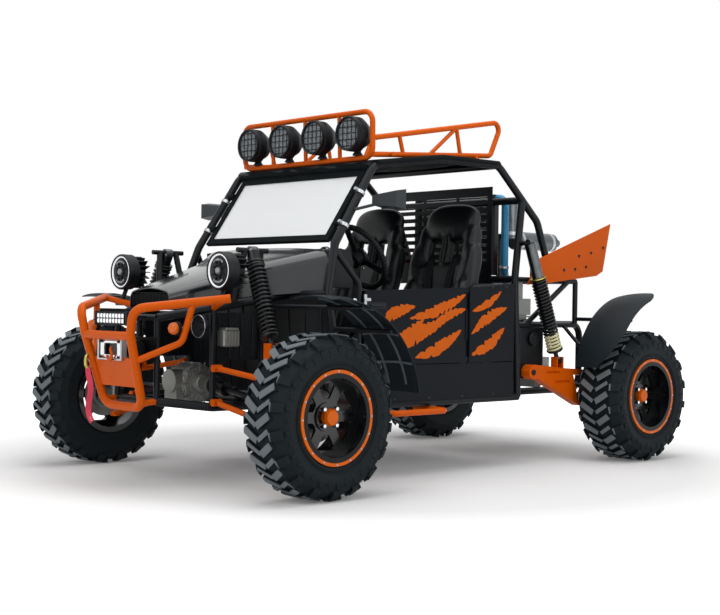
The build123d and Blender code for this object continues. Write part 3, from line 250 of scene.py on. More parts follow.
def wheel_trim(end, axle_x):
    """Orange ring and cap, with the ring's inner lip left black."""
    material, tree, shader = new_finish("powder_coat_sprayed_two_tone_" + end, TRIM_ORANGE[0],
                                        Specular_IOR_Level=0.2)
    mottle(tree, shader, TRIM_ORANGE, 4.0, 0.05, (0.3, 0.4))
    radius = from_axle(tree, axle_x)
    outside = add(tree, "Math", {"operation": "GREATER_THAN", 1: RING_EDGE}, {0: radius})
    cap = add(tree, "Math", {"operation": "LESS_THAN", 1: RING_EDGE / 2}, {0: radius})
    bright = add(tree, "Math", {"operation": "MAXIMUM"}, {0: outside.outputs[0], 1: cap.outputs[0]})
    base = shader.inputs["Base Color"].links[0].from_socket
    toned = add(tree, "Mix", {"data_type": "RGBA", 6: linear("#080B0E")}, {0: bright.outputs[0], 7: base})
    tree.links.new(toned.outputs[2], shader.inputs["Base Color"])
    return material


FINISHES = plain_finishes() | clear_finishes()
# Which CAD nodes wear each finish
WORN_BY = {
    "black_tube": "lower_frame roll_cage floor_pan steering_gear firewall_grille tow_eye",
    "orange": "front_bumper roof_rack side_steps front_arms rear_arms wing_plates",
    "fender": "front_fenders rear_fenders", "body": "side_panels door_left door_right", "bonnet": "nose_cowl",
    "plastic": "dash_panel fuel_tank", "cloth": "windscreen_frame roof_canopy", "film": "windscreen",
    "lamp_body": "roof_lamps headlights light_bar", "amber": "turn_signals",
    "stainless": "dampers silencer air_can", "black_steel": "springs halfshafts radiator winch",
    "cast": "knuckle_left knuckle_right gearbox engine front_differential", "zinc": "steering_rack",
    "rubber": "steering_wheel", "hose": "coolant_hoses", "vinyl": "seat_left seat_right",
    "grey_plastic": "mirrors", "yellow_zinc": "hook_strap",
}
for end, axle_x in (("front", FRONT_X), ("rear", REAR_X)):
    FINISHES |= {f"tyre_{end}": tyre_rubber(end, axle_x), f"trim_{end}": wheel_trim(end, axle_x)}
    for kind, finish in (("tyre", f"tyre_{end}"), ("rim", "rim"), ("trim", f"trim_{end}")):
        WORN_BY[finish] = WORN_BY.get(finish, "") + f" {kind}_{end}_left {kind}_{end}_right"
for finish, wearers in WORN_BY.items():
    for name in wearers.split():
        nodes[name].data.materials.clear()
        nodes[name].data.materials.append(FINISHES[finish])


def shift(x, y, z):
    """A move, in metres."""
    return Matrix.Translation((x, y, z))


def spin(degrees, axis="Z"):
    """A turn about one axis of a frame."""
    return Matrix.Rotation(math.radians(degrees), 4, axis)


def polar(radius, turn):
    """X and Y at a turn, in radians, round a circle."""
    return radius * math.cos(turn), radius * math.sin(turn)


def frame_at(place, axis, up=(0, 0, 1)):
    """A frame whose Z runs along axis, from a place in metres."""
    z = Vector(axis).normalized()
    x = Vector(up).cross(z)
    x = x.normalized() if x.length > 1e-6 else Vector((1, 0, 0))
    return Matrix.Translation(place) @ Matrix((x, z.cross(x), z)).transposed().to_4x4()


def facing_out(x, y, z, out):
    """A frame on one side of the buggy, facing out from it."""
    return frame_at((x, out * y, z), (0, out, 0))


def facing_ahead(x, y, z):
    return frame_at((x, y, z), (1, 0, 0))


def facing_up(x, y, z):
    return frame_at((x, y, z), (0, 0, 1))


def around(count, place, radius, height=0.0, start=0.0):
    """Frames evenly round a circle about a frame's Z."""
    return [place @ spin(start + 360 * i / count) @ shift(radius, 0, height) for i in range(count)]


def loft(bm, rows, caps=True, closed=True):
    """Faces between rows of points, closed round each row and over both ends."""
    count = len(rows[0])
    for first, second in zip(rows, rows[1:]):
        for i in range(count if closed else count - 1):
            j = (i + 1) % count
            bm.faces.new((first[i], first[j], second[j], second[i]))
    if caps:
        bm.faces.new(rows[0][::-1])
        bm.faces.new(rows[-1])


def turn_profile(bm, profile, place, steps=32):
    """Turns radius and height pairs about the frame's Z."""
    rings = []
    for radius, height in profile:
        spots = 1 if radius < 1e-6 else steps
        rings.append([bm.verts.new(place @ Vector((*polar(radius, 2 * math.pi * i / steps), height)))
                      for i in range(spots)])
    for lower, upper in zip(rings, rings[1:]):
        for i in range(steps):
            ends = ((lower, i), (lower, i + 1), (upper, i + 1), (upper, i))
            corners = list(dict.fromkeys(ring[n % len(ring)] for ring, n in ends))
            if len(corners) > 2:
                bm.faces.new(corners)


def raise_outline(bm, outline, low, high, place):
    """An outline in the frame's XY, raised from low to high along its Z."""
    loft(bm, [[bm.verts.new(place @ Vector((x, y, z))) for x, y in outline] for z in (low, high)])


def round_box(bm, size, place, corner=0.3):
    """A box with its corners cut, centred on the frame; corner is a share of the least side."""
    cut = min(size) * corner / 2
    x, y, z = (s / 2 for s in size)
    outline = [(x - cut, -y), (x, -y + cut), (x, y - cut), (x - cut, y), (-x + cut, y), (-x, y - cut),
               (-x, -y + cut), (-x + cut, -y)]
    inner = [(a * (1 - cut / x), b * (1 - cut / y)) for a, b in outline]
    loft(bm, [[bm.verts.new(place @ Vector((a, b, height))) for a, b in ring]
              for ring, height in ((inner, -z), (outline, -z + cut), (outline, z - cut), (inner, z))])


def pillow(bm, size, place, square, around_steps=24, rows=16):
    """A closed rounded block: 1 is an ellipsoid, towards 0 it squares up."""
    def bend(value):
        return math.copysign(abs(value) ** square, value)

    rings = []
    for i in range(1, rows):
        tilt = math.pi * (i / rows - 0.5)
        ring = []
        for k in range(around_steps):
            turn = 2 * math.pi * k / around_steps
            x = size[0] / 2 * bend(math.cos(tilt)) * bend(math.cos(turn))
            y = size[1] / 2 * bend(math.cos(tilt)) * bend(math.sin(turn))
            ring.append(bm.verts.new(place @ Vector((x, y, size[2] / 2 * bend(math.sin(tilt))))))
        rings.append(ring)
    loft(bm, rings)


def hex_bolt(bm, place, across, high):
    """A washer under a hexagon head."""
    turn_profile(bm, ((0, 0), (across * 0.75, 0), (across * 0.75, high * 0.25), (0, high * 0.25)), place, 12)
    head = [polar(across / math.sqrt(3), math.radians(60 * i)) for i in range(6)]
    raise_outline(bm, head, high * 0.25, high, place)


def clamp(bm, place, radius, wide):
    """A split ring with ears and a cross bolt."""
    turn_profile(bm, ((radius, -wide / 2), (radius + 0.004, -wide / 2), (radius + 0.004, wide / 2),
                      (radius, wide / 2), (radius, -wide / 2)), place, 28)
    round_box(bm, (0.020, 0.012, wide), place @ shift(radius + 0.010, 0, 0))
    hex_bolt(bm, place @ shift(radius + 0.012, 0.006, 0) @ spin(-90, "X"), 0.010, 0.006)


def ribbon(bm, points, width, thick, across):
    """A flat strap along points, its width along one direction."""
    half = Vector(across).normalized() * width / 2
    rows = []
    for i, point in enumerate(points):
        ahead = points[min(i + 1, len(points) - 1)] - points[max(i - 1, 0)]
        lift = ahead.cross(half).normalized() * thick / 2
        rows.append([bm.verts.new(point + s * half + t * lift) for s, t in CORNERS])
    loft(bm, rows)


def show(obj, body, finish):
    """Puts a made object in the scene, with its finish, on the body it rides on."""
    obj.data.materials.append(FINISHES[finish])
    bpy.context.scene.collection.objects.link(obj)
    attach(obj, body)
    return obj


def mesh_piece(name, bm, body, finish, smooth=35):
    """A piece from built faces, its edges sharp beyond an angle."""
    bmesh.ops.recalc_face_normals(bm, faces=bm.faces)
    mesh = bpy.data.meshes.new(name)
    bm.to_mesh(mesh)
    bm.free()
    mesh.polygons.foreach_set("use_smooth", [True] * len(mesh.polygons))
    mesh.set_sharp_from_angle(angle=math.radians(smooth))
    return show(bpy.data.objects.new(name, mesh), body, finish)


def turned_piece(name, body, finish, place, steps, *profiles, smooth=35):
    """A piece of one or more profiles turned about the same frame."""
    bm = bmesh.new()
    for profile in profiles:
        turn_profile(bm, profile, place, steps)
    return mesh_piece(name, bm, body, finish, smooth)


def smooth_line(name, points):
    """A curve whose NURBS spline has these as its control points."""
    curve = bpy.data.curves.new(name, "CURVE")
    curve.dimensions = "3D"
    spline = curve.splines.new("NURBS")
    spline.points.add(len(points) - 1)
    for spot, point in zip(spline.points, points):
        spot.co = (*point, 1)
    spline.order_u = 3
    spline.use_endpoint_u = True
    spline.resolution_u = 6
    return curve


def tube_piece(name, points, radius, body, finish, sides=3):
    """A round tube along smooth points."""
    curve = smooth_line(name, points)
    curve.bevel_depth = radius
    curve.bevel_resolution = sides
    curve.use_fill_caps = True
    return show(bpy.data.objects.new(name, curve), body, finish)


def route(points):
    """Points along the smooth spline that has these as its control points."""
    curve = smooth_line("route", points)
    line = bpy.data.objects.new("route", curve)
    mesh = bpy.data.meshes.new_from_object(line)
    path = [v.co.copy() for v in mesh.vertices]
    bpy.data.objects.remove(line)
    bpy.data.curves.remove(curve)
    bpy.data.meshes.remove(mesh)
    return path


# Wheels: ring bolts, wheel nuts, sidewall ribs, tread, brake discs and valves
# End of the buggy: axle X, wheel Y, tyre width, metres
WHEELS = {"front": (FRONT_X, 0.820, 0.229), "rear": (REAR_X, 0.740, 0.270)}
RING_BOLTS = 16
RING_BOLT_RADIUS = 0.1895
WHEEL_NUTS = 4
NUT_RADIUS = 0.048
NUT = ((0, 0), (0.011, 0), (0.0105, 0.016), (0.008, 0.023), (0, 0.024))
# Sidewall rib: radius and depth below the tyre's side
WALL_RIBS = ((0.214, 0.007), (0.222, 0.0055), (0.288, 0.007))
WALL_BLOCKS = 36
WALL_REACH = (0.264, 0.272)
TREAD_PITCHES = 18
TREAD_LEAN = 32
DISC = ((0.070, 0), (0.112, 0), (0.112, 0.006), (0.070, 0.006), (0.070, 0))
DISC_BELL = ((0.060, -0.010), (0.074, -0.010), (0.074, 0.008), (0.060, 0.008), (0.060, -0.010))
VALVE = ((0, 0), (0.004, 0), (0.004, 0.030), (0.005, 0.031), (0.005, 0.042), (0, 0.043))


def wheel_fittings(end, side, out):
    axle_x, wheel_y, width = WHEELS[end]
    body, rubber = f"wheel_{end}_{side}", f"tyre_{end}"

    def face(depth):
        return facing_out(axle_x, wheel_y + depth, TYRE_RADIUS, out)

    bolts = bmesh.new()
    for spot in around(RING_BOLTS, face(width / 2 - 0.008), RING_BOLT_RADIUS):
        hex_bolt(bolts, spot, 0.0055, 0.0035)
    mesh_piece(f"ring_bolts_{end}_{side}", bolts, body, "zinc")
    nuts = bmesh.new()
    for spot in around(WHEEL_NUTS, face(0.045), NUT_RADIUS, start=180 / WHEEL_NUTS):
        turn_profile(nuts, NUT, spot, 12)
    mesh_piece(f"wheel_nuts_{end}_{side}", nuts, body, "chrome")
    ribs = bmesh.new()
    for radius, depth in WALL_RIBS:
        turn_profile(ribs, ((radius - 0.003, -0.003), (radius - 0.0015, 0.002), (radius + 0.0015, 0.002),
                            (radius + 0.003, -0.003)), face(width / 2 - depth), 72)
    for i in range(WALL_BLOCKS):
        spot = face(width / 2) @ spin(360 * i / WALL_BLOCKS) @ shift(WALL_REACH[i % 2], 0, -0.0015)
        round_box(ribs, (0.030, 0.016, 0.007), spot, 0.8)
    mesh_piece(f"sidewall_ribs_{end}_{side}", ribs, body, rubber)
    arms = bmesh.new()
    axle = shift(axle_x, out * wheel_y, TYRE_RADIUS)
    for i in range(TREAD_PITCHES):
        for way in (-1, 1):
            turn = axle @ spin(360 / TREAD_PITCHES * (i + 0.75 + way * out / 4), "Y")
            spot = turn @ shift(0, way * 0.31 * width / 2, TYRE_RADIUS - 0.010)
            round_box(arms, (0.020, 0.080, 0.016), spot @ spin(way * TREAD_LEAN), 0.2)
    mesh_piece(f"tread_arms_{end}_{side}", arms, body, rubber)
    turned_piece(f"brake_disc_{end}_{side}", body, "cast", face(-0.030), 48, DISC, DISC_BELL)
    turned_piece(f"valve_{end}_{side}", body, "rubber", face(0.060) @ shift(0.155, 0, 0), 10, VALVE)


# Dampers: coils, lock rings, spring seats and shafts
# Damper: top and low eye for the left side, coil from and to as shares, turns
DAMPERS = {
    "front": (Vector((fa(-35), 0.319, 1.035)), Vector((fa(-5), 0.500, 0.610)), 0.17, 0.87, 17),
    "rear": (Vector((ra(677.7), 0.577, 1.130)), Vector((ra(438), 0.577, 0.528)), 0.30, 0.9, 22),
}
COIL_RADIUS = 0.0355
COIL_WIRE = 0.0062
COIL_STEPS = 14
PALE_SHARE = 0.78
# Lock rings: thickness, heights above the coil's start, finish
LOCK_RINGS = {"front": (0.010, (-0.010, -0.024), "black_steel"), "rear": (0.006, (-0.007,), "yellow_zinc")}
SLEEVE_TOP = {"front": -0.070, "rear": 0.0}


def coil_points(place, length, first, last, turns):
    points = []
    for i in range(int((last - first) * turns * COIL_STEPS) + 1):
        share = first + i / (turns * COIL_STEPS)
        angle = 2 * math.pi * share * turns
        points.append(place @ Vector((*polar(COIL_RADIUS, angle), share * length)))
    return points


def damper_fittings(end, side, out):
    top, low, start, stop, turns = DAMPERS[end]
    flip = Vector((1, out, 1))
    head, foot = top * flip, low * flip
    first, last = head.lerp(foot, start), head.lerp(foot, stop)
    place = frame_at(first, last - first)
    length = (last - first).length
    dark_end = PALE_SHARE if end == "rear" else 1.0
    coil = tube_piece(f"coil_{end}_{side}", coil_points(place, length, 0, dark_end, turns), COIL_WIRE,
                      "chassis", "black_steel", sides=2)
    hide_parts("springs")
    if end == "rear":
        tube_piece(f"coil_pale_{side}", coil_points(place, length, dark_end, 1, turns), COIL_WIRE, "chassis",
                   "cream_steel", sides=2)
    thick, heights, finish = LOCK_RINGS[end]
    rings = [((0.029, h), (0.040, h), (0.042, h + thick / 3), (0.042, h + 2 * thick / 3), (0.040, h + thick),
              (0.029, h + thick)) for h in heights]
    turned_piece(f"lock_rings_{end}_{side}", "chassis", finish, place, 28, *rings)
    seat = ((0.010, length + 0.012), (0.038, length + 0.012), (0.043, length + 0.006),
            (0.043, length - 0.002), (0.030, length - 0.006), (0.010, length - 0.006))
    turned_piece(f"spring_seat_{end}_{side}", "chassis", "black_steel", place, 28, seat)
    shaft = ((0.0294, SLEEVE_TOP[end]), (0.0294, length * 0.62), (0.024, length * 0.64),
             (0.012, length * 0.64), (0.012, length + 0.045))
    turned_piece(f"damper_shaft_{end}_{side}", "chassis", "black_steel", place, 24, shaft)


# Lamps: roof pods, headlights, light bar, turn signals
ROOF_LAMP_X = fa(-557)
ROOF_LAMP_Z = 1.597
ROOF_LAMPS_Y = (-0.366, -0.122, 0.122, 0.366)
ROOF_LAMP_RIM = ((0.070, 0.0), (0.078, -0.004), (0.081, 0.004), (0.080, 0.012), (0.074, 0.014),
                 (0.071, 0.011), (0.070, 0.0))
ROOF_LAMP_FOOT = ((0.0, 0.0), (0.024, 0.0), (0.024, 0.006), (0.017, 0.014), (0.017, 0.026), (0.0, 0.026))
GUARD_PITCH = 0.029
GUARD_BAR = 0.0032
LENS_PITCH = 0.008
HEADLIGHT = Vector((fa(152), 0.372, 0.939))
BOWL = ((0.074, 0.001), (0.058, 0.001), (0.048, 0.006), (0.030, 0.006), (0.028, 0.012), (0.024, 0.013),
        (0.022, 0.006), (0, 0.006))
HALO = ((0.066, 0.001), (0.067, 0.006), (0.069, 0.008), (0.072, 0.006), (0.073, 0.001))
PROJECTOR = ((0.016, 0.006), (0.015, 0.012), (0.011, 0.016), (0.005, 0.0185), (0, 0.019))
BEZEL = ((0.073, 0.0), (0.074, 0.009), (0.079, 0.0095), (0.083, 0.003), (0.083, -0.012))
ARC_STEP = 8
BAR_X, BAR_HALF, BAR_Z, BAR_HIGH = fa(480), 0.115, 0.729, 0.058
BAR_COLUMNS, BAR_ROWS = 9, 2
SIGNAL = (fa(365), 0.313, 0.692)
SIGNAL_RIM = ((0.0255, -0.012), (0.029, -0.012), (0.030, 0.000), (0.0275, 0.004), (0.0252, 0.004))
SIGNAL_FOOT = ((0.0, -0.022), (0.016, -0.022), (0.026, -0.0115), (0.0, -0.0115))
# Rings of facets: radius, place ahead, count, tilt
SIGNAL_FACETS = ((0.0222, 0.020, 12, 70), (0.0150, 0.0285, 8, 30), (0.006, 0.0315, 4, 8))


def guard_bars(bm, place, radius, high):
    """Crossed bars of a stone guard, each as long as the lens is wide there."""
    count = int(radius / GUARD_PITCH)
    for i in range(-count, count + 1):
        off = i * GUARD_PITCH
        long = 2 * math.sqrt(radius ** 2 - off ** 2)
        round_box(bm, (long, GUARD_BAR, 0.004), place @ shift(0, off, high))
        round_box(bm, (GUARD_BAR, long, 0.004), place @ shift(off, 0, high))


def lens_blocks(bm, place, radius):
    """Small pillows side by side, as moulded into a lens."""
    count = int(radius / LENS_PITCH) + 1
    half = LENS_PITCH * 0.48
    for i in range(-count, count):
        for j in range(-count, count):
            x, y = (i + 0.5) * LENS_PITCH, (j + 0.5) * LENS_PITCH
            if math.hypot(x, y) > radius - LENS_PITCH * 0.4:
                continue
            rows = [[bm.verts.new(place @ Vector((x + a * half * share, y + b * half * share, z)))
                     for a, b in CORNERS] for share, z in ((1, 0), (0.5, LENS_PITCH * 0.3))]
            loft(bm, rows, caps=False)
            bm.faces.new(rows[1])


def roof_lamp_fittings():
    for n, y in enumerate(ROOF_LAMPS_Y):
        face = facing_ahead(ROOF_LAMP_X, y, ROOF_LAMP_Z)
        optic = bmesh.new()
        turn_profile(optic, ((0.071, 0.0), (0.071, 0.0015), (0, 0.0015)), face, 40)
        lens_blocks(optic, face @ shift(0, 0, 0.0015), 0.069)
        # The optic finish's pale and dark patches are painted glints
        mesh_piece(f"roof_lamp_optic_{n}", optic, "chassis", "optic", 20)
        guard = bmesh.new()
        guard_bars(guard, face, 0.074, 0.010)
        turn_profile(guard, ROOF_LAMP_RIM, face, 48)
        mesh_piece(f"roof_lamp_guard_{n}", guard, "chassis", "plastic")
        foot = bmesh.new()
        base = facing_up(ROOF_LAMP_X - 0.060, y, 1.500)
        turn_profile(foot, ROOF_LAMP_FOOT, base, 20)
        round_box(foot, (0.030, 0.046, 0.030), base @ shift(0, 0, 0.038))
        mesh_piece(f"roof_lamp_foot_{n}", foot, "chassis", "lamp_body")


def headlight_fittings(side, out):
    face = facing_ahead(HEADLIGHT.x + 0.034, out * HEADLIGHT.y, HEADLIGHT.z)
    bowl = bmesh.new()
    turn_profile(bowl, BOWL, face, 48)
    for spot in around(8, face, 0.038, 0.008, start=22.5):
        round_box(bowl, (0.018, 0.003, 0.006), spot)
    mesh_piece(f"headlight_bowl_{side}", bowl, "chassis", "lamp_body")
    turned_piece(f"headlight_halo_{side}", "chassis", "led", face, 56, HALO)
    arcs = bmesh.new()
    for middle in (90, 270):
        for angle in range(middle - 40, middle + 40, ARC_STEP):
            a, b = math.radians(angle), math.radians(angle + ARC_STEP)
            spots = [(0.044, a), (0.052, a), (0.052, b), (0.044, b)]
            raise_outline(arcs, [polar(*spot) for spot in spots], 0.006, 0.009, face)
    # The arcs and the projector wear the optic finish, whose pale and dark patches are painted glints
    mesh_piece(f"headlight_arcs_{side}", arcs, "chassis", "optic")
    turned_piece(f"headlight_projector_{side}", "chassis", "optic", face, 32, PROJECTOR, smooth=60)
    turned_piece(f"headlight_bezel_{side}", "chassis", "plastic", face, 56, BEZEL)


def light_bar_fittings():
    face = facing_ahead(BAR_X, 0, BAR_Z)
    cells = bmesh.new()
    frames = bmesh.new()
    width, height = (2 * BAR_HALF - 0.020) / BAR_COLUMNS, (BAR_HIGH - 0.014) / BAR_ROWS
    for i in range(BAR_COLUMNS):
        for j in range(BAR_ROWS):
            middle = shift((i - BAR_COLUMNS / 2 + 0.5) * width, (j - BAR_ROWS / 2 + 0.5) * height, 0.002)
            round_box(cells, (width * 0.9, height * 0.86, 0.008), face @ middle, 0.6)
    for j in range(BAR_ROWS + 1):
        level = face @ shift(0, (j - BAR_ROWS / 2) * height, 0.003)
        round_box(frames, (2 * BAR_HALF - 0.012, 0.003, 0.010), level)
    for i in range(BAR_COLUMNS + 1):
        post = face @ shift((i - BAR_COLUMNS / 2) * width, 0, 0.003)
        round_box(frames, (0.003, BAR_HIGH - 0.010, 0.008), post)
    for end in (-1, 1):
        cheek = face @ shift(end * (BAR_HALF + 0.003), 0, -0.020)
        round_box(frames, (0.012, BAR_HIGH + 0.004, 0.052), cheek)
    for n in range(9):
        fin = face @ shift(0, (n - 4) * 0.0062, -0.050)
        round_box(frames, (2 * BAR_HALF - 0.010, 0.003, 0.030), fin)
    for n in range(13):
        fin = face @ shift((n - 6) * 0.0165, BAR_HIGH / 2 + 0.006, -0.026)
        round_box(frames, (0.004, 0.014, 0.040), fin)
    mesh_piece("light_bar_cells", cells, "chassis", "led")
    mesh_piece("light_bar_bezel", frames, "chassis", "lamp_body")


def turn_signal_fittings(side, out):
    face = facing_ahead(SIGNAL[0], out * SIGNAL[1], SIGNAL[2])
    turned_piece(f"turn_signal_base_{side}", "chassis", "rubber", face, 32, SIGNAL_RIM, SIGNAL_FOOT)
    ribs = bmesh.new()
    for spot in around(8, face, 0.0242, 0.006):
        round_box(ribs, (0.003, 0.003, 0.020), spot)
    for radius, ahead, count, tilt in SIGNAL_FACETS:
        for spot in around(count, face, radius, ahead):
            round_box(ribs, (0.0065, 0.0075, 0.004), spot @ spin(tilt, "Y"), 0.7)
    mesh_piece(f"turn_signal_ribs_{side}", ribs, "chassis", "amber")


# Door marks: slanting blades of cut film, each wholly on its own panel
FILM = 0.0006
FILM_STEP = 0.0002
# Blade: panel, mm ahead of the front axle and height of its low end and its high end, widest mm, bow mm
BLADES = (
    ("door", -530, 590, -860, 742, 66, 24), ("door", -545, 700, -800, 800, 58, -20),
    ("door", -640, 566, -1010, 730, 74, -22), ("door", -800, 560, -1120, 690, 60, 20),
    ("door", -760, 742, -1150, 862, 54, 18), ("door", -905, 700, -1150, 790, 46, -14),
    ("panel", -1190, 566, -1440, 700, 58, 18), ("panel", -1190, 668, -1455, 800, 56, -18),
    ("panel", -1195, 780, -1410, 880, 40, 14),
)


def ragged(seed):
    """A steady scatter from 0 to 1 for torn edges."""
    value = math.sin(seed * 12.9898) * 437.585
    return value - math.floor(value)


def blade(bm, place, low, high, widest, bow, lift):
    """A bowed sliver, pointed at both ends, torn unevenly along its edges."""
    run = high - low
    side = Vector((-run.y, run.x)).normalized()
    along = run.normalized()
    steps = int(run.length / 0.011)
    edges = ([], [])
    for i in range(steps + 1):
        t = i / steps
        middle = low + run * t + side * bow * math.sin(math.pi * t)
        half = widest / 2 * math.sin(math.pi * t) ** 0.7
        for way, edge in zip((-1, 1), edges):
            tear = ragged(i + 100 * way + 1000 * bow) * (0.75 if i % 3 == 0 else 0.3)
            edge.append(middle + side * way * half * (1.15 - tear) + along * half * 0.5 * tear)
    loft(bm, [[bm.verts.new(place @ Vector((p.x, p.y, lift))) for p in edge] for edge in edges], False, False)


def door_marks(side, out):
    face = Matrix(((1, 0, 0, 0), (0, 0, out, out * PANEL_FACE), (0, 1, 0, 0), (0, 0, 0, 1)))
    for panel, body in (("door", f"door_{side}"), ("panel", "chassis")):
        film = bmesh.new()
        for n, (held, x0, z0, x1, z1, widest, bow) in enumerate(BLADES):
            if held == panel:
                low, high = Vector((fa(x0), z0 * MM)), Vector((fa(x1), z1 * MM))
                blade(film, face, low, high, widest * MM, bow * MM, FILM + FILM_STEP * n)
        mesh_piece(f"slash_marks_{panel}_{side}", film, body, "slash", 80)


# Seats: bucket shapes blown up as foam under vinyl, with seams, belts and rails
SEAT_Y = 0.270
SEAT_BACK = Vector((fa(-1250), SEAT_Y, 0.4926))
RECLINE = math.radians(14)
SEAT_UP = Vector((-math.sin(RECLINE), 0, math.cos(RECLINE)))
SEAT_FORE = Vector((math.cos(RECLINE), 0, math.sin(RECLINE)))
SEAT_VOXEL = 0.006
SEAT_SWELL = 0.008
SEAT_EASE = 8
SEAM_RADIUS = 0.0022
CHANNEL_RADIUS = 0.0018
RIB_RADIUS = 0.006
BELT_WIDTH = 0.044
BELT_THICK = 0.0022
BUCKLE = ((0, -0.008), (0.030, -0.008), (0.033, -0.003), (0.033, 0.006), (0.026, 0.012), (0, 0.013))
# Back block: offset across, height, depth of its middle, then width, height and depth, mm, tilt, squareness
BACK_BLOCKS = (
    (0, 245, 30, 330, 530, 58, 0, 0.4),
    (184, 215, 60, 92, 470, 112, -16, 0.6), (-184, 215, 60, 92, 470, 112, 16, 0.6),
    (174, 480, 46, 124, 330, 84, -12, 0.6), (-174, 480, 46, 124, 330, 84, 12, 0.6),
    (0, 480, 32, 320, 130, 62, 0, 0.4), (0, 600, 40, 62, 220, 52, 0, 0.5),
    (158, 615, 44, 88, 260, 76, -8, 0.6), (-158, 615, 44, 88, 260, 76, 8, 0.6),
    (0, 752, 44, 356, 204, 88, 0, 0.72),
)
# Cushion block: offset across, mm ahead of the front axle and height of its middle, length, width and height
CUSHION_BLOCKS = (
    (0, -1015, 455, 430, 320, 100), (185, -1020, 470, 420, 88, 130), (-185, -1020, 470, 420, 88, 130),
    (0, -832, 470, 76, 330, 104), (0, -1190, 470, 110, 440, 110),
)
CUSHION_SQUARE = 0.4


def as_evaluated(obj):
    """Gives an object the mesh its modifiers make."""
    made = bpy.data.meshes.new_from_object(obj.evaluated_get(bpy.context.evaluated_depsgraph_get()))
    obj.modifiers.clear()
    obj.data = made


def seat_shape():
    """One closed mesh of the joined blocks, remeshed and smoothed."""
    bm = bmesh.new()
    for y, h, n, wide, high, deep, lean, square in BACK_BLOCKS:
        middle = SEAT_BACK + SEAT_UP * h * MM + SEAT_FORE * n * MM + Vector((0, y * MM, 0))
        place = frame_at(middle, SEAT_FORE, SEAT_UP) @ spin(lean, "Y")
        pillow(bm, (wide * MM, high * MM, deep * MM), place, square)
    for y, x, z, long, wide, high in CUSHION_BLOCKS:
        pillow(bm, (long * MM, wide * MM, high * MM), shift(fa(x), SEAT_Y + y * MM, z * MM), CUSHION_SQUARE)
    bmesh.ops.recalc_face_normals(bm, faces=bm.faces)
    mesh = bpy.data.meshes.new("seat_shape")
    bm.to_mesh(mesh)
    bm.free()
    obj = bpy.data.objects.new("seat_shape", mesh)
    bpy.context.scene.collection.objects.link(obj)
    join = obj.modifiers.new("join", "REMESH")
    join.mode = "VOXEL"
    join.voxel_size = SEAT_VOXEL
    soften = obj.modifiers.new("soften", "SMOOTH")
    soften.factor = 0.5
    soften.iterations = 10
    as_evaluated(obj)
    return obj


def blow_up(obj):
    """Foam pressing its cover out, a capped distance from the sewn shape, then eased."""
    start = [v.co.copy() for v in obj.data.vertices]
    cloth = obj.modifiers.new("cover", "CLOTH")
    cloth.settings.use_pressure = True
    cloth.settings.uniform_pressure_force = 4.0
    cloth.settings.tension_stiffness = 25
    cloth.settings.compression_stiffness = 25
    cloth.settings.bending_stiffness = 2.0
    cloth.settings.effector_weights.gravity = 0.0
    scene = bpy.context.scene
    for step in range(1, 21):
        scene.frame_set(step)
    as_evaluated(obj)
    for vertex, home in zip(obj.data.vertices, start):
        swell = vertex.co - home
        if swell.length > SEAT_SWELL:
            vertex.co = home + swell * (SEAT_SWELL / swell.length)
    soft = bmesh.new()
    soft.from_mesh(obj.data)
    for _ in range(SEAT_EASE):
        bmesh.ops.smooth_vert(soft, verts=soft.verts, factor=0.5, use_axis_x=True, use_axis_y=True,
                              use_axis_z=True)
    soft.to_mesh(obj.data)
    soft.free()
    scene.frame_set(1)


def seats():
    base = seat_shape()
    blow_up(base)
    skin = BVHTree.FromPolygons([v.co for v in base.data.vertices], [p.vertices for p in base.data.polygons])
    for side, out in SIDES:
        mesh = base.data.copy()
        if out < 0:
            mesh.transform(Matrix.Scale(-1, 4, (0, 1, 0)))
            mesh.flip_normals()
        mesh.polygons.foreach_set("use_smooth", [True] * len(mesh.polygons))
        seat = show(bpy.data.objects.new(f"seat_cover_{side}", mesh), "chassis", "vinyl")
        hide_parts(f"seat_{side}")
        seat_trim(skin, side, out)
    bpy.data.objects.remove(base)


def on_back(skin, y, h, lift=0.001):
    """The point on the front of the seat back at an offset across and a height."""
    start = SEAT_BACK + SEAT_UP * h * MM + SEAT_FORE * 0.4 + Vector((0, y * MM, 0))
    found = skin.ray_cast(start, -SEAT_FORE)[0]
    return (start - SEAT_FORE * 0.35 if found is None else found) + SEAT_FORE * lift


def on_cushion(skin, x, y, lift=0.001):
    """The point on top of the cushion, mm ahead of the front axle and mm across."""
    start = Vector((fa(x), SEAT_Y + y * MM, 0.75))
    found = skin.ray_cast(start, Vector((0, 0, -1)))[0]
    return (start - Vector((0, 0, 0.25)) if found is None else found) + Vector((0, 0, lift))


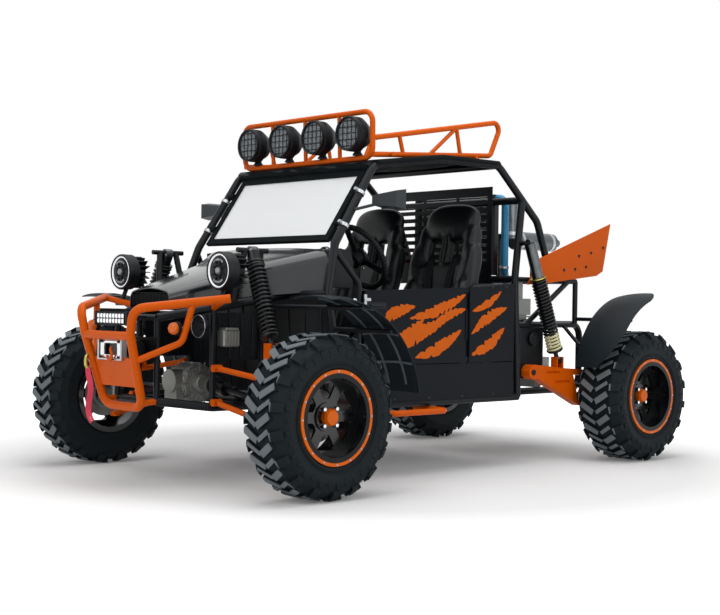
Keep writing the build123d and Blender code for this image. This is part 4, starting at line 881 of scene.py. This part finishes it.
def seat_trim(skin, side, out):
    """Sewn seams, ribs up the middle, harness belts with their buckle, and the rails."""
    flip = Matrix.Scale(-1, 4, (0, 1, 0)) if out < 0 else Matrix()

    def piped(name, n, line, radius):
        tube_piece(f"{name}_{side}_{n}", [flip @ p for p in line], radius, "chassis", "vinyl")

    for n, y in enumerate((-140, 140)):
        line = [on_back(skin, y * (1 - 0.12 * i / 10), 90 + 40 * i) for i in range(11)]
        piped("back_seam", n, line, SEAM_RADIUS)
        piped("cushion_seam", n, [on_cushion(skin, -1130 + 30 * i, y) for i in range(10)], SEAM_RADIUS)
    for n, y in enumerate((-20, 0, 20)):
        piped("back_rib", n, [on_back(skin, y, 535 + 15 * i, 0.002) for i in range(10)], RIB_RADIUS)
    for n, level in enumerate((170, 250, 330, 410)):
        line = [on_back(skin, -130 + 26 * i, level, 0.0) for i in range(11)]
        piped("back_channel", n, line, CHANNEL_RADIUS)
    for n, ahead in enumerate((-1080, -1000, -920)):
        line = [on_cushion(skin, ahead, -130 + 26 * i, 0.0) for i in range(11)]
        piped("cushion_channel", n, line, CHANNEL_RADIUS)
    buckle_at = on_cushion(skin, -1090, 0, 0.016)
    belts = bmesh.new()
    for edge in (-1, 1):
        down = [on_back(skin, edge * (84 - 6 * i), 585 - 62 * i, 0.004) for i in range(8)]
        slot = down[0] - SEAT_FORE * 0.09 + SEAT_UP * 0.012
        lap = [on_cushion(skin, -1150 + 10 * i, edge * (222 - 34 * i), 0.004) for i in range(6)]
        for line, across in (([slot] + down, (0, 1, 0)), (lap, (1, 0, 0.2))):
            ribbon(belts, [flip @ p for p in route(line + [buckle_at])], BELT_WIDTH, BELT_THICK, across)
    mesh_piece(f"harness_belts_{side}", belts, "chassis", "belt", 50)
    buckle = bmesh.new()
    place = frame_at(flip @ buckle_at, (0.5, 0, 0.86))
    turn_profile(buckle, BUCKLE, place, 28)
    round_box(buckle, (0.020, 0.014, 0.008), place @ shift(0, 0, 0.014))
    mesh_piece(f"harness_buckle_{side}", buckle, "chassis", "plastic")
    rails = bmesh.new()
    low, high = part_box(f"seat_{side}")
    for edge in (-0.170, 0.170):
        x, y, z = (low[0] + high[0]) / 2 + 0.06, out * SEAT_Y + edge, low[2] + 0.012
        round_box(rails, (0.42, 0.032, 0.022), shift(x, y, z))
        for end in (-0.19, 0.19):
            hex_bolt(rails, shift(x + end, y, z + 0.010), 0.013, 0.008)
    mesh_piece(f"seat_rails_{side}", rails, "chassis", "black_steel")


# Soft top: one cloth stretched over the roof tubes, sagging between them
TOP_STATIONS = ((fa(-605), 0.490, 1.450), (fa(-1055), 0.500, 1.512), (ra(845), 0.500, 1.516))
TOP_SAG = 0.045
TOP_SPANS = 24
TOP_RIBS = 28
TUBE_WRAP = 0.0205
# Places round the tube, out and up from its middle, where the cloth lies on it
WRAPS = [polar(TUBE_WRAP, math.radians(90 - 20 * i)) for i in range(1, 7)]
ROLL_HALF = 0.468
ROLL_SPANS = 60
ROLL_TURNS = 20
STRAP_WIDTH = 0.025
# Strap route: across and height, mm, from the hook down to the sewn end
STRAP_ROUTE = ((-161, 516), (-158, 490), (-140, 452), (-132, 410), (-148, 360), (-152, 322), (-136, 292),
               (-118, 276))
STRAP_X = fa(493.5)
# Bends of the hook and of its keeper, ahead and up from the hook's middle, mm
HOOK_BENDS = ((-20, 20), (6, 22), (14, -4), (10, -36), (-12, -46), (-26, -26))
KEEPER_BENDS = ((-18, -20), (-4, -6), (10, 6))


def roof_rail(share):
    """Place on the left roof tube, by the share of its run from the front."""
    first, middle, last = (Vector(s) for s in TOP_STATIONS)
    knee = (middle - first).length / ((middle - first).length + (last - middle).length)
    if share < knee:
        return first.lerp(middle, share / knee)
    return middle.lerp(last, (share - knee) / (1 - knee))


def soft_top():
    bm = bmesh.new()
    rows = []
    for i in range(TOP_SPANS + 1):
        share = i / TOP_SPANS
        rail = roof_rail(share)
        slack = math.sin(math.pi * share) ** 0.8
        tucked = [(rail.y + y, rail.z + z) for y, z in WRAPS]
        row = [(-y, z) for y, z in tucked[::-1]]
        for j in range(TOP_RIBS + 1):
            v = 2 * j / TOP_RIBS - 1
            pull = 0.006 * slack * math.sin(5 * math.pi * share + 2.4 * v) * (1 - v ** 2)
            dip = TOP_SAG * slack * (1 - abs(v) ** 2.4) + pull
            row.append((v * rail.y, rail.z + TUBE_WRAP - dip))
        rows.append([bm.verts.new((rail.x, y, z)) for y, z in row + tucked])
    loft(bm, rows, False, False)
    area = sum(f.calc_area() for f in bm.faces)
    cover = mesh_piece("soft_top", bm, "chassis", "cloth", 70)
    thick = cover.modifiers.new("thickness", "SOLIDIFY")
    thick.thickness = 0.0015
    thick.offset = 1.0
    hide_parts("roof_canopy")
    hem = bmesh.new()
    hem_y, hem_z = WRAPS[-1]
    for out in (-1, 1):
        rails = [roof_rail(i / 30) for i in range(31)]
        edge = [Vector((r.x, out * (r.y + hem_y), r.z + hem_z)) for r in rails]
        ribbon(hem, edge, 0.016, 0.004, (0, out * 0.3, 1))
    mesh_piece("soft_top_hem", hem, "chassis", "belt", 60)


def header_roll():
    """The cloth's front edge, rolled in folds under the header tube."""
    roll = bmesh.new()
    rings = []
    for i in range(ROLL_SPANS + 1):
        y = ROLL_HALF * (2 * i / ROLL_SPANS - 1)
        ring = []
        for k in range(ROLL_TURNS):
            angle = 2 * math.pi * k / ROLL_TURNS
            fold = 0.0016 * math.sin(3 * angle + 21 * y) + 0.0012 * math.sin(47 * y + 2 * angle)
            reach = (0.026 if math.sin(angle) < 0 else 0.0205) + fold
            ahead, up = polar(reach, angle)
            ring.append(roll.verts.new((fa(-605) + ahead, y, 1.448 + up)))
        rings.append(ring)
    loft(roll, rings)
    mesh_piece("header_roll", roll, "chassis", "cloth", 80)


def hook_and_strap():
    """A forged hook on the bumper upright with a limp strap hanging from it."""
    path = route([Vector((STRAP_X, y * MM, z * MM)) for y, z in STRAP_ROUTE])
    webbing = bmesh.new()
    rows = []
    for i, point in enumerate(path):
        ahead = (path[min(i + 1, len(path) - 1)] - path[max(i - 1, 0)]).normalized()
        twist = -math.radians(15 + 45 * math.sin(math.pi * i / (len(path) - 1)))
        level = Vector((math.sin(twist), math.cos(twist), 0))
        half = (level - ahead * level.dot(ahead)).normalized() * STRAP_WIDTH / 2
        lift = ahead.cross(half).normalized() * 0.0011
        rows.append([webbing.verts.new(point + a * half + b * lift) for a, b in CORNERS])
    loft(webbing, rows)
    strap = mesh_piece("hook_pull_strap", webbing, "chassis", "strap", 60)
    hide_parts("hook_strap")
    stitch = bmesh.new()
    for k in range(3):
        row = path[-2].lerp(path[-5], k / 2)
        ribbon(stitch, [row + Vector((0.0014, s * 0.009, 0)) for s in (-1, 0, 1)], 0.0016, 0.0012, (0, 0, 1))
    sewn = mesh_piece("strap_stitching", stitch, "chassis", "white_film")
    middle = Vector((STRAP_X - 0.004, -0.163, 0.548))
    hook, keeper = ([middle + Vector((x, 0, z)) * MM for x, z in bends]
                    for bends in (HOOK_BENDS, KEEPER_BENDS))
    tube_piece("bumper_hook", hook, 0.0075, "chassis", "yellow_zinc", sides=4)
    tube_piece("hook_keeper", keeper, 0.003, "chassis", "zinc")


# Fittings: bolts, clamps, ribs, horn, mirrors and controls
WING_FACE = 0.5243
# Wing plate bolts, mm ahead of the rear axle and height
WING_BOLTS = ((325, 1003), (230, 1011), (134, 1025), (197, 1082), (91, 1102), (-17, 1134))
# Panel rivets, mm ahead of the front axle and height
RIVETS = [(-1240 - 105 * n, 900) for n in range(3)] + [(-440 - 230 * n, 370) for n in range(5)]
RIVET = ((0.0075, 0), (0.0065, 0.0025), (0.003, 0.004), (0, 0.0042))
FENDER_Y = 0.810
FENDER_HALF = 0.120
FENDER_CROWN = 0.014
FENDER_RADIUS = 0.485
FENDER_INSIDE = -0.007
PILLAR = (Vector((fa(-355), 0.505, 1.075)), Vector((fa(-605), 0.490, 1.450)))
MIRROR = ((0.078, -0.036), (0.078, 0.036), (-0.078, 0.026), (-0.078, -0.026))
HORN_CUP = ((0, -0.030), (0.030, -0.030), (0.036, -0.014), (0.052, -0.004), (0.052, 0.010), (0.046, 0.012),
            (0.042, 0.002), (0.020, -0.004), (0.012, 0.006), (0, 0.007))
HORN_RING = ((0.046, 0.010), (0.047, 0.013), (0.049, 0.013), (0.050, 0.010))
WHEEL_CENTRE = Vector((fa(-725), 0.270, 1.030))
COLUMN = Vector((0.87, 0, -0.5)).normalized()
WHEEL_PAD = ((0.046, -0.004), (0.050, 0.004), (0.046, 0.014), (0.030, 0.020), (0, 0.021))
GRIP_RADIUS = 0.160
GRIP_TURNS = 64
GRIP_RIDGE = ((0.0142, -0.0022), (0.0152, 0), (0.0142, 0.0022))
# Dials: Y and radius
DIALS = ((0.270, 0.046), (0.150, 0.030), (0.390, 0.030))
KNOB = ((0.008, -0.02), (0.018, -0.012), (0.023, 0.004), (0.020, 0.018), (0.010, 0.026), (0, 0.027))
# Pulleys: mm ahead of the rear axle, height mm, radius
PULLEYS = ((378, 520, 0.095), (300, 690, 0.045), (470, 660, 0.060))
CAN_BAND = ((0.0452, -0.010), (0.0470, -0.009), (0.0470, 0.009), (0.0452, 0.010))
SILENCER_BAND = ((0.0502, -0.011), (0.0522, -0.010), (0.0522, 0.010), (0.0502, 0.011))
FUEL_CAP = ((0.030, 0), (0.036, 0.004), (0.036, 0.016), (0.030, 0.022), (0, 0.023))
FIN_COUNT = 56
DIFFERENTIAL_RINGS = (
    (((0.022, 0.084), (0.024, 0.089), (0.032, 0.089), (0.036, 0.084)), 32),
    (((0.050, 0.0640), (0.052, 0.0690), (0.056, 0.0680), (0.058, 0.0610)), 40),
    (((0.080, 0.050), (0.084, 0.054), (0.090, 0.050), (0.091, 0.034), (0.085, 0.030)), 48),
)
ROLLER_UPRIGHT = ((0, 0), (0.010, 0), (0.013, 0.004), (0.013, 0.056), (0.010, 0.060), (0, 0.060))
ROLLER_LEVEL = ((0, 0), (0.008, 0), (0.010, 0.004), (0.010, 0.100), (0.008, 0.104), (0, 0.104))
# Bends of the winch's hook from its eye, mm
WINCH_HOOK = ((0, 0, 0), (12, 10, -6), (16, 30, -26), (14, 20, -52), (10, -8, -54), (10, -16, -34))


def panel_bolts(side, out):
    wing = bmesh.new()
    for x, z in WING_BOLTS:
        hex_bolt(wing, facing_out(ra(x), WING_FACE, z * MM, out), 0.011, 0.005)
    mesh_piece(f"wing_bolts_{side}", wing, "chassis", "black_steel")
    rivets = bmesh.new()
    for x, z in RIVETS:
        turn_profile(rivets, RIVET, facing_out(fa(x), PANEL_FACE, z * MM, out), 14)
    mesh_piece(f"panel_rivets_{side}", rivets, "chassis", "black_steel")
    latch = bmesh.new()
    base = facing_out(fa(-466), PANEL_FACE, 0.815, out)
    round_box(latch, (0.016, 0.070, 0.010), base @ shift(0.004, 0, 0.006))
    round_box(latch, (0.040, 0.014, 0.008), base @ shift(0.010, 0.012, 0.014))
    mesh_piece(f"door_latch_{side}", latch, "chassis", "zinc")
    pull = bmesh.new()
    base = facing_out(fa(-545), PANEL_FACE, 0.800, out)
    round_box(pull, (0.120, 0.030, 0.006), base @ shift(0, 0, 0.003))
    round_box(pull, (0.090, 0.012, 0.012), base @ shift(0, 0, 0.010), 0.7)
    mesh_piece(f"door_pull_{side}", pull, f"door_{side}", "plastic")


def fender_spot(out, y, degrees, lift=0.0):
    """A place on the crowned top of a front fender, by its turn about the axle."""
    reach = FENDER_RADIUS + lift + FENDER_CROWN * (1 - ((y - FENDER_Y) / FENDER_HALF) ** 2)
    ahead, up = polar(reach, math.radians(degrees))
    return Vector((FRONT_X + ahead, out * y, TYRE_RADIUS + up))


def fender_lines(name, out, finish, lift, along, across):
    """Raised lines along a front fender, from an angle through a sweep, and across it."""
    ribs = bmesh.new()
    places, first, sweep, width, thick = along
    for y in places:
        line = [fender_spot(out, y, first + sweep * i / 28, lift) for i in range(29)]
        ribbon(ribs, line, width, thick, (0, 1, 0))
    places, width, thick = across
    spans = [FENDER_Y + FENDER_HALF * (0.9 - 1.8 * i / 12) for i in range(13)]
    for degrees in places:
        turn = math.radians(degrees)
        line = [fender_spot(out, y, degrees, lift) for y in spans]
        ribbon(ribs, line, width, thick, (-math.sin(turn), 0, math.cos(turn)))
    mesh_piece(name, ribs, "chassis", finish, 60)


def fender_ribs(side, out):
    """Ribs on top of the front fenders, stiffeners inside them, and bolts."""
    # The ribs' grey is a painted highlight along the raised lines
    fender_lines(f"fender_ribs_{side}", out, "grey_plastic", 0.0, ((0.735, 0.885), 90, 76, 0.010, 0.005),
                 ((95.84, 128.64), 0.008, 0.004))
    # The stiffeners' pale grey is a painted highlight along them
    fender_lines(f"fender_stiffeners_{side}", out, "rib_painted_highlight", FENDER_INSIDE,
                 ((0.742, 0.846), 96, 70, 0.011, 0.006), ((114, 136, 154), 0.010, 0.006))
    bolts = bmesh.new()
    for y in (0.730, 0.890):
        for degrees in (104, 146):
            turn = math.radians(degrees)
            place = frame_at(fender_spot(out, y, degrees), (math.cos(turn), 0, math.sin(turn)), (0, 1, 0))
            hex_bolt(bolts, place, 0.013, 0.007)
    mesh_piece(f"fender_bolts_{side}", bolts, "chassis", "zinc")


def pillar_fittings(side, out):
    flip = Vector((1, out, 1))
    low, high = (end * flip for end in PILLAR)
    rings = bmesh.new()
    for share in (0.22, 0.63):
        clamp(rings, frame_at(low.lerp(high, share), high - low, (0, out, 0)), 0.0195, 0.016)
    mesh_piece(f"pillar_clamps_{side}", rings, "chassis", "zinc")
    glass = bmesh.new()
    face = frame_at((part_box("mirrors")[0][0], out * 0.640, 1.277), (-1, 0, 0))
    outline = [(x * -out, y) for x, y in MIRROR]
    raise_outline(glass, outline if out < 0 else outline[::-1], 0.0, 0.002, face)
    mesh_piece(f"mirror_glass_{side}", glass, "chassis", "chrome")


def horn():
    face = facing_ahead(fa(205), 0.268, 0.700)
    cup = bmesh.new()
    turn_profile(cup, HORN_CUP, face, 40)
    round_box(cup, (0.020, 0.060, 0.006), face @ shift(0, 0.020, -0.034))
    mesh_piece("horn_cup", cup, "chassis", "lamp_body")
    turned_piece("horn_ring", "chassis", "zinc", face, 40, HORN_RING)


def steering_wheel_fittings():
    hub = frame_at(WHEEL_CENTRE - COLUMN * 0.005, -COLUMN, (0, 1, 0))
    turned_piece("wheel_pad", "steering_wheel", "vinyl", hub, 36, WHEEL_PAD)
    bolts = bmesh.new()
    for spot in around(6, hub, 0.060, -0.008):
        hex_bolt(bolts, spot, 0.009, 0.006)
    for spot in around(3, hub, 0.098, -0.004):
        round_box(bolts, (0.070, 0.014, 0.004), spot)
    mesh_piece("wheel_bolts", bolts, "steering_wheel", "zinc")
    grip = bmesh.new()
    for i in range(GRIP_TURNS):
        turn = 2 * math.pi * i / GRIP_TURNS
        spot = hub @ Vector((*polar(GRIP_RADIUS, turn), -0.005))
        along = hub.to_3x3() @ Vector((-math.sin(turn), math.cos(turn), 0))
        turn_profile(grip, GRIP_RIDGE, frame_at(spot, along, COLUMN), 14)
    mesh_piece("wheel_stitching", grip, "steering_wheel", "vinyl")


def cabin_fittings():
    """Dials on the dash, the gear lever with its knob and gaiter, and the pedals."""
    dials = bmesh.new()
    faces = bmesh.new()
    for y, radius in DIALS:
        face = frame_at((fa(-514), y, 1.022), (-0.95, 0, 0.31), (0, 1, 0))
        turn_profile(dials, ((radius, 0), (radius + 0.005, 0.002), (radius + 0.004, 0.012), (radius, 0.012),
                             (radius, 0.002)), face, 36)
        turn_profile(faces, ((radius, 0.003), (0, 0.003)), face, 36)
    mesh_piece("dial_rings", dials, "chassis", "chrome")
    mesh_piece("dial_faces", faces, "chassis", "plastic")
    lever = [Vector((fa(-760), 0.0, 0.376)), Vector((fa(-765), 0.0, 0.480)), Vector((fa(-785), 0.004, 0.600)),
             Vector((fa(-790), 0.004, 0.700))]
    tube_piece("gear_lever", lever, 0.008, "chassis", "black_steel")
    turned_piece("gear_knob", "chassis", "plastic", facing_up(*lever[-1]), 28, KNOB)
    gaiter = [(0.062 - 0.009 * i + (0.004 if i % 2 else 0), 0.014 * i) for i in range(6)]
    turned_piece("gear_gaiter", "chassis", "rubber", facing_up(fa(-760), 0, 0.374), 28, gaiter)
    pedals = bmesh.new()
    for y in (0.180, 0.290):
        pad = frame_at((fa(-440), y, 0.520), (-0.8, 0, 0.6))
        round_box(pedals, (0.060, 0.085, 0.010), pad)
        for i in range(5):
            round_box(pedals, (0.054, 0.006, 0.005), pad @ shift(0, (i - 2) * 0.015, 0.006))
        round_box(pedals, (0.012, 0.014, 0.190), shift(fa(-432), y, 0.460))
    mesh_piece("pedals", pedals, "chassis", "black_steel")


def convex_ring(points):
    """The points on the outside of a flat set, in order round it."""
    ordered = sorted(points, key=lambda p: (p.x, p.y))

    def half(run):
        kept = []
        for p in run:
            while len(kept) > 1 and (kept[-1] - kept[-2]).cross(p - kept[-2]) <= 0:
                kept.pop()
            kept.append(p)
        return kept[:-1]

    return half(ordered) + half(ordered[::-1])


def engine_fittings():
    """Belt round the pulleys, fins of the radiator core, bands on the can and silencer."""
    loop = []
    for x, z, radius in PULLEYS:
        middle = Vector((ra(x), z * MM))
        loop += [middle + Vector(polar(radius, math.radians(degrees))) for degrees in range(0, 360, 20)]
    belt = bmesh.new()
    points = [Vector((p.x, 0.246, p.y)) for p in convex_ring(loop)]
    ribbon(belt, points + points[:1], 0.016, 0.006, (0, 1, 0))
    mesh_piece("drive_belt", belt, "chassis", "rubber")
    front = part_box("radiator")[1][0]
    core = bmesh.new()
    for i in range(FIN_COUNT):
        level = 0.990 + 0.385 * i / (FIN_COUNT - 1)
        round_box(core, (0.002, 0.470, 0.0022), shift(front - 0.008, 0, level))
    mesh_piece("radiator_fins", core, "chassis", "aluminium")
    bands = bmesh.new()
    for z in (1.200, 1.366):
        turn_profile(bands, CAN_BAND, facing_up(ra(420), 0.225, z), 40)
    for x in (60, 320):
        turn_profile(bands, SILENCER_BAND, facing_ahead(ra(x), 0.200, 1.166), 40)
    mesh_piece("can_bands", bands, "chassis", "zinc")
    clips = bmesh.new()
    for z in (1.360, 1.010):
        clamp(clips, facing_up(ra(600), 0.345, z), 0.0205, 0.012)
    mesh_piece("hose_clips", clips, "chassis", "zinc")
    turned_piece("fuel_cap", "chassis", "plastic", facing_out(ra(575), 0.5155, 0.640, 1), 24, FUEL_CAP)


def nose_and_guards():
    """Mesh in the nose's mouth, the toe board behind the front frame and the guards inside the wheels."""
    mouth = bmesh.new()
    x, half, low, high = fa(281), 0.140, 0.780, 0.842
    middle = (low + high) / 2
    for i in range(-13, 14):
        round_box(mouth, (0.004, 0.0026, high - low - 0.001 * abs(i)), shift(x, i * 0.0105, middle))
    for j in range(7):
        level = low + (high - low) * j / 6
        round_box(mouth, (0.005, 2 * half - 0.004 * max(j - 3, 0) ** 2, 0.0026), shift(x - 0.003, 0, level))
    round_box(mouth, (0.003, 2 * half - 0.016, high - low - 0.008), shift(x - 0.030, 0, middle))
    mesh_piece("nose_mesh", mouth, "chassis", "plastic")
    board = bmesh.new()
    foot, head = Vector((fa(-352), 0, 0.362)), Vector((fa(-322), 0, 0.826))
    run = head - foot
    face = frame_at((foot + head) / 2, Vector((run.z, 0, -run.x)), run)
    round_box(board, (1.050, run.length, 0.004), face)
    for i in range(-4, 5):
        round_box(board, (0.020, run.length - 0.080, 0.008), face @ shift(i * 0.112, 0, 0.003), 0.6)
    mesh_piece("toe_board", board, "chassis", "black_tube")
    for side, out in SIDES:
        guard = bmesh.new()
        place = shift(fa(0), out * 0.252, 0.655)
        round_box(guard, (0.260, 0.004, 0.210), place)
        for i in range(4):
            round_box(guard, (0.016, 0.010, 0.180), place @ shift(-0.096 + 0.064 * i, out * 0.004, 0), 0.6)
        mesh_piece(f"inner_guard_{side}", guard, "chassis", "plastic")
    case = bmesh.new()
    place = shift(fa(62), 0.282, 0.648)
    round_box(case, (0.090, 0.052, 0.074), place, 0.2)
    round_box(case, (0.070, 0.058, 0.012), place @ shift(0, 0, 0.040), 0.4)
    for i in range(5):
        round_box(case, (0.004, 0.058, 0.060), place @ shift(-0.034 + 0.017 * i, 0, 0), 0.4)
    mesh_piece("control_box", case, "chassis", "cast")


def fairlead():
    """Rollers in front of the winch drum, with the rope's hook resting on them."""
    x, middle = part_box("winch")[1][0], 0.597
    bars = bmesh.new()
    rollers = bmesh.new()
    for out in (-1, 1):
        round_box(bars, (0.030, 0.010, 0.086), shift(x + 0.012, out * 0.088, middle))
        turn_profile(rollers, ROLLER_UPRIGHT, facing_up(x + 0.014, out * 0.064, middle - 0.030), 20)
        turn_profile(rollers, ROLLER_LEVEL, facing_out(x + 0.014, -0.052, middle + out * 0.032, 1), 20)
    for level in (-0.044, 0.044):
        round_box(bars, (0.030, 0.186, 0.008), shift(x + 0.012, 0, middle + level))
    mesh_piece("fairlead_frame", bars, "chassis", "zinc")
    mesh_piece("fairlead_rollers", rollers, "chassis", "chrome")
    eye = Vector((x + 0.022, 0.010, middle + 0.006))
    bends = [eye + Vector(bend) * MM for bend in WINCH_HOOK]
    tube_piece("winch_hook", bends, 0.0065, "chassis", "orange", sides=4)


def differential_fittings():
    """Turned rings, a flange and bolts on both covers of the front differential."""
    cover = bmesh.new()
    for _, out in SIDES:
        face = facing_out(fa(50), 0, 0.440, out)
        for profile, steps in DIFFERENTIAL_RINGS:
            turn_profile(cover, profile, face, steps)
        for spot in around(8, face, 0.0675, 0.059, start=22.5):
            hex_bolt(cover, spot, 0.011, 0.008)
        for spot in around(8, face, 0.084, 0.050, start=22.5):
            round_box(cover, (0.030, 0.004, 0.008), spot)
    mesh_piece("differential_covers", cover, "chassis", "cast")


# Studio: lamp, its place, what it points at, size and power
LAMPS = (("softbox_top", (0.3, 0.5, 4.6), (0, 0, 0.4), 4.5, 124),
         ("softbox_front", (5.2, 1.2, 3.2), (0.6, 0, 0.7), 3.0, 56),
         ("softbox_side", (-0.5, 5.6, 3.0), (0, 0, 0.7), 3.5, 62))
FLOOR_HALF = 40.0


def seen_rays(tree):
    """1 for rays that show the surface itself, in view, in gloss or through glass."""
    path = add(tree, "LightPath")
    first = add(tree, "Math", {"operation": "MAXIMUM"},
                {0: path.outputs["Is Camera Ray"], 1: path.outputs["Is Glossy Ray"]})
    return add(tree, "Math", {"operation": "MAXIMUM"},
               {0: first.outputs[0], 1: path.outputs["Is Transmission Ray"]}).outputs[0]


def paper_floor():
    """White paper whose added glow is low near the buggy, a painted shade on the floor round it, and rises to
    the white surround away from the buggy.
    """
    paper = bpy.data.materials.new("paper_floor")
    paper.use_nodes = True
    tree = paper.node_tree
    tree.nodes.clear()
    away = add(tree, "VectorMath", {"operation": "LENGTH"}, {0: add(tree, "TexCoord").outputs["Object"]})
    # Glow from 0.10 near the buggy, a painted shade round it, up to full white away from it
    painted_shade_fade = add(tree, "MapRange", {"From Min": 1.6, "From Max": 3.6, "To Min": 0.10, "To Max": 1.0},
               {"Value": away.outputs["Value"]})
    lift = add(tree, "Math", {"operation": "MULTIPLY"}, {0: painted_shade_fade.outputs["Result"], 1: seen_rays(tree)})
    glow = add(tree, "Emission", {"Color": linear("#FFFFFF")}, {"Strength": lift.outputs[0]})
    matte = add(tree, "BsdfDiffuse", {"Color": linear("#F0F0F0")})
    both = add(tree, "AddShader", (), {0: glow.outputs[0], 1: matte.outputs[0]})
    add(tree, "OutputMaterial", (), {"Surface": both.outputs[0]})
    return paper


def studio():
    """Pale floor, white surround and soft lamps."""
    scene = bpy.context.scene
    scene.view_settings.view_transform = "Standard"
    mesh = bpy.data.meshes.new("floor")
    mesh.from_pydata([(a * FLOOR_HALF, b * FLOOR_HALF, 0) for a, b in CORNERS], [], [(0, 1, 2, 3)])
    mesh.materials.append(paper_floor())
    floor = bpy.data.objects.new("floor", mesh)
    scene.collection.objects.link(floor)
    world = bpy.data.worlds.new("studio")
    scene.world = world
    world.use_nodes = True
    tree = world.node_tree
    tree.nodes.clear()
    strength = add(tree, "MapRange", {"To Min": 0.34, "To Max": 1.0}, {"Value": seen_rays(tree)})
    sky = add(tree, "Background", {"Color": linear("#FFFFFF")}, {"Strength": strength.outputs["Result"]})
    add(tree, "OutputWorld", (), {"Surface": sky.outputs[0]})
    for name, place, aim, size, power in LAMPS:
        data = bpy.data.lights.new(name, "AREA")
        data.size = size
        data.energy = power
        lamp = bpy.data.objects.new(name, data)
        lamp.location = place
        lamp.rotation_euler = (Vector(aim) - Vector(place)).to_track_quat("-Z", "Y").to_euler()
        scene.collection.objects.link(lamp)


def photo_camera():
    yaw, pitch, roll = (math.radians(a) for a in (CAMERA_YAW, CAMERA_PITCH, CAMERA_ROLL))
    ahead = Vector((math.cos(pitch) * math.cos(yaw), math.cos(pitch) * math.sin(yaw), math.sin(pitch)))
    level = ahead.cross(Vector((0, 0, 1))).normalized()
    upright = level.cross(ahead)
    right = math.cos(roll) * level + math.sin(roll) * upright
    up = -math.sin(roll) * level + math.cos(roll) * upright
    data = bpy.data.cameras.new("photo_camera")
    data.sensor_width = SENSOR_MM
    data.lens = CAMERA_LENS_MM
    camera = bpy.data.objects.new("photo_camera", data)
    axes = Matrix((right, up, -ahead)).transposed().to_4x4()
    camera.matrix_world = Matrix.Translation(CAMERA_PLACE) @ axes
    bpy.context.scene.collection.objects.link(camera)
    bpy.context.scene.camera = camera


def on_both_sides(*makers):
    """Each maker's pieces for the left side and then for the right."""
    for maker in makers:
        for side, out in SIDES:
            maker(side, out)


for maker in (wheel_fittings, damper_fittings):
    for end in ("front", "rear"):
        for side, out in SIDES:
            maker(end, side, out)
roof_lamp_fittings()
on_both_sides(headlight_fittings)
light_bar_fittings()
on_both_sides(turn_signal_fittings, door_marks)
seats()
soft_top()
header_roll()
hook_and_strap()
on_both_sides(panel_bolts, fender_ribs, pillar_fittings)
horn()
steering_wheel_fittings()
cabin_fittings()
engine_fittings()
nose_and_guards()
fairlead()
differential_fittings()
photo_camera()
studio()
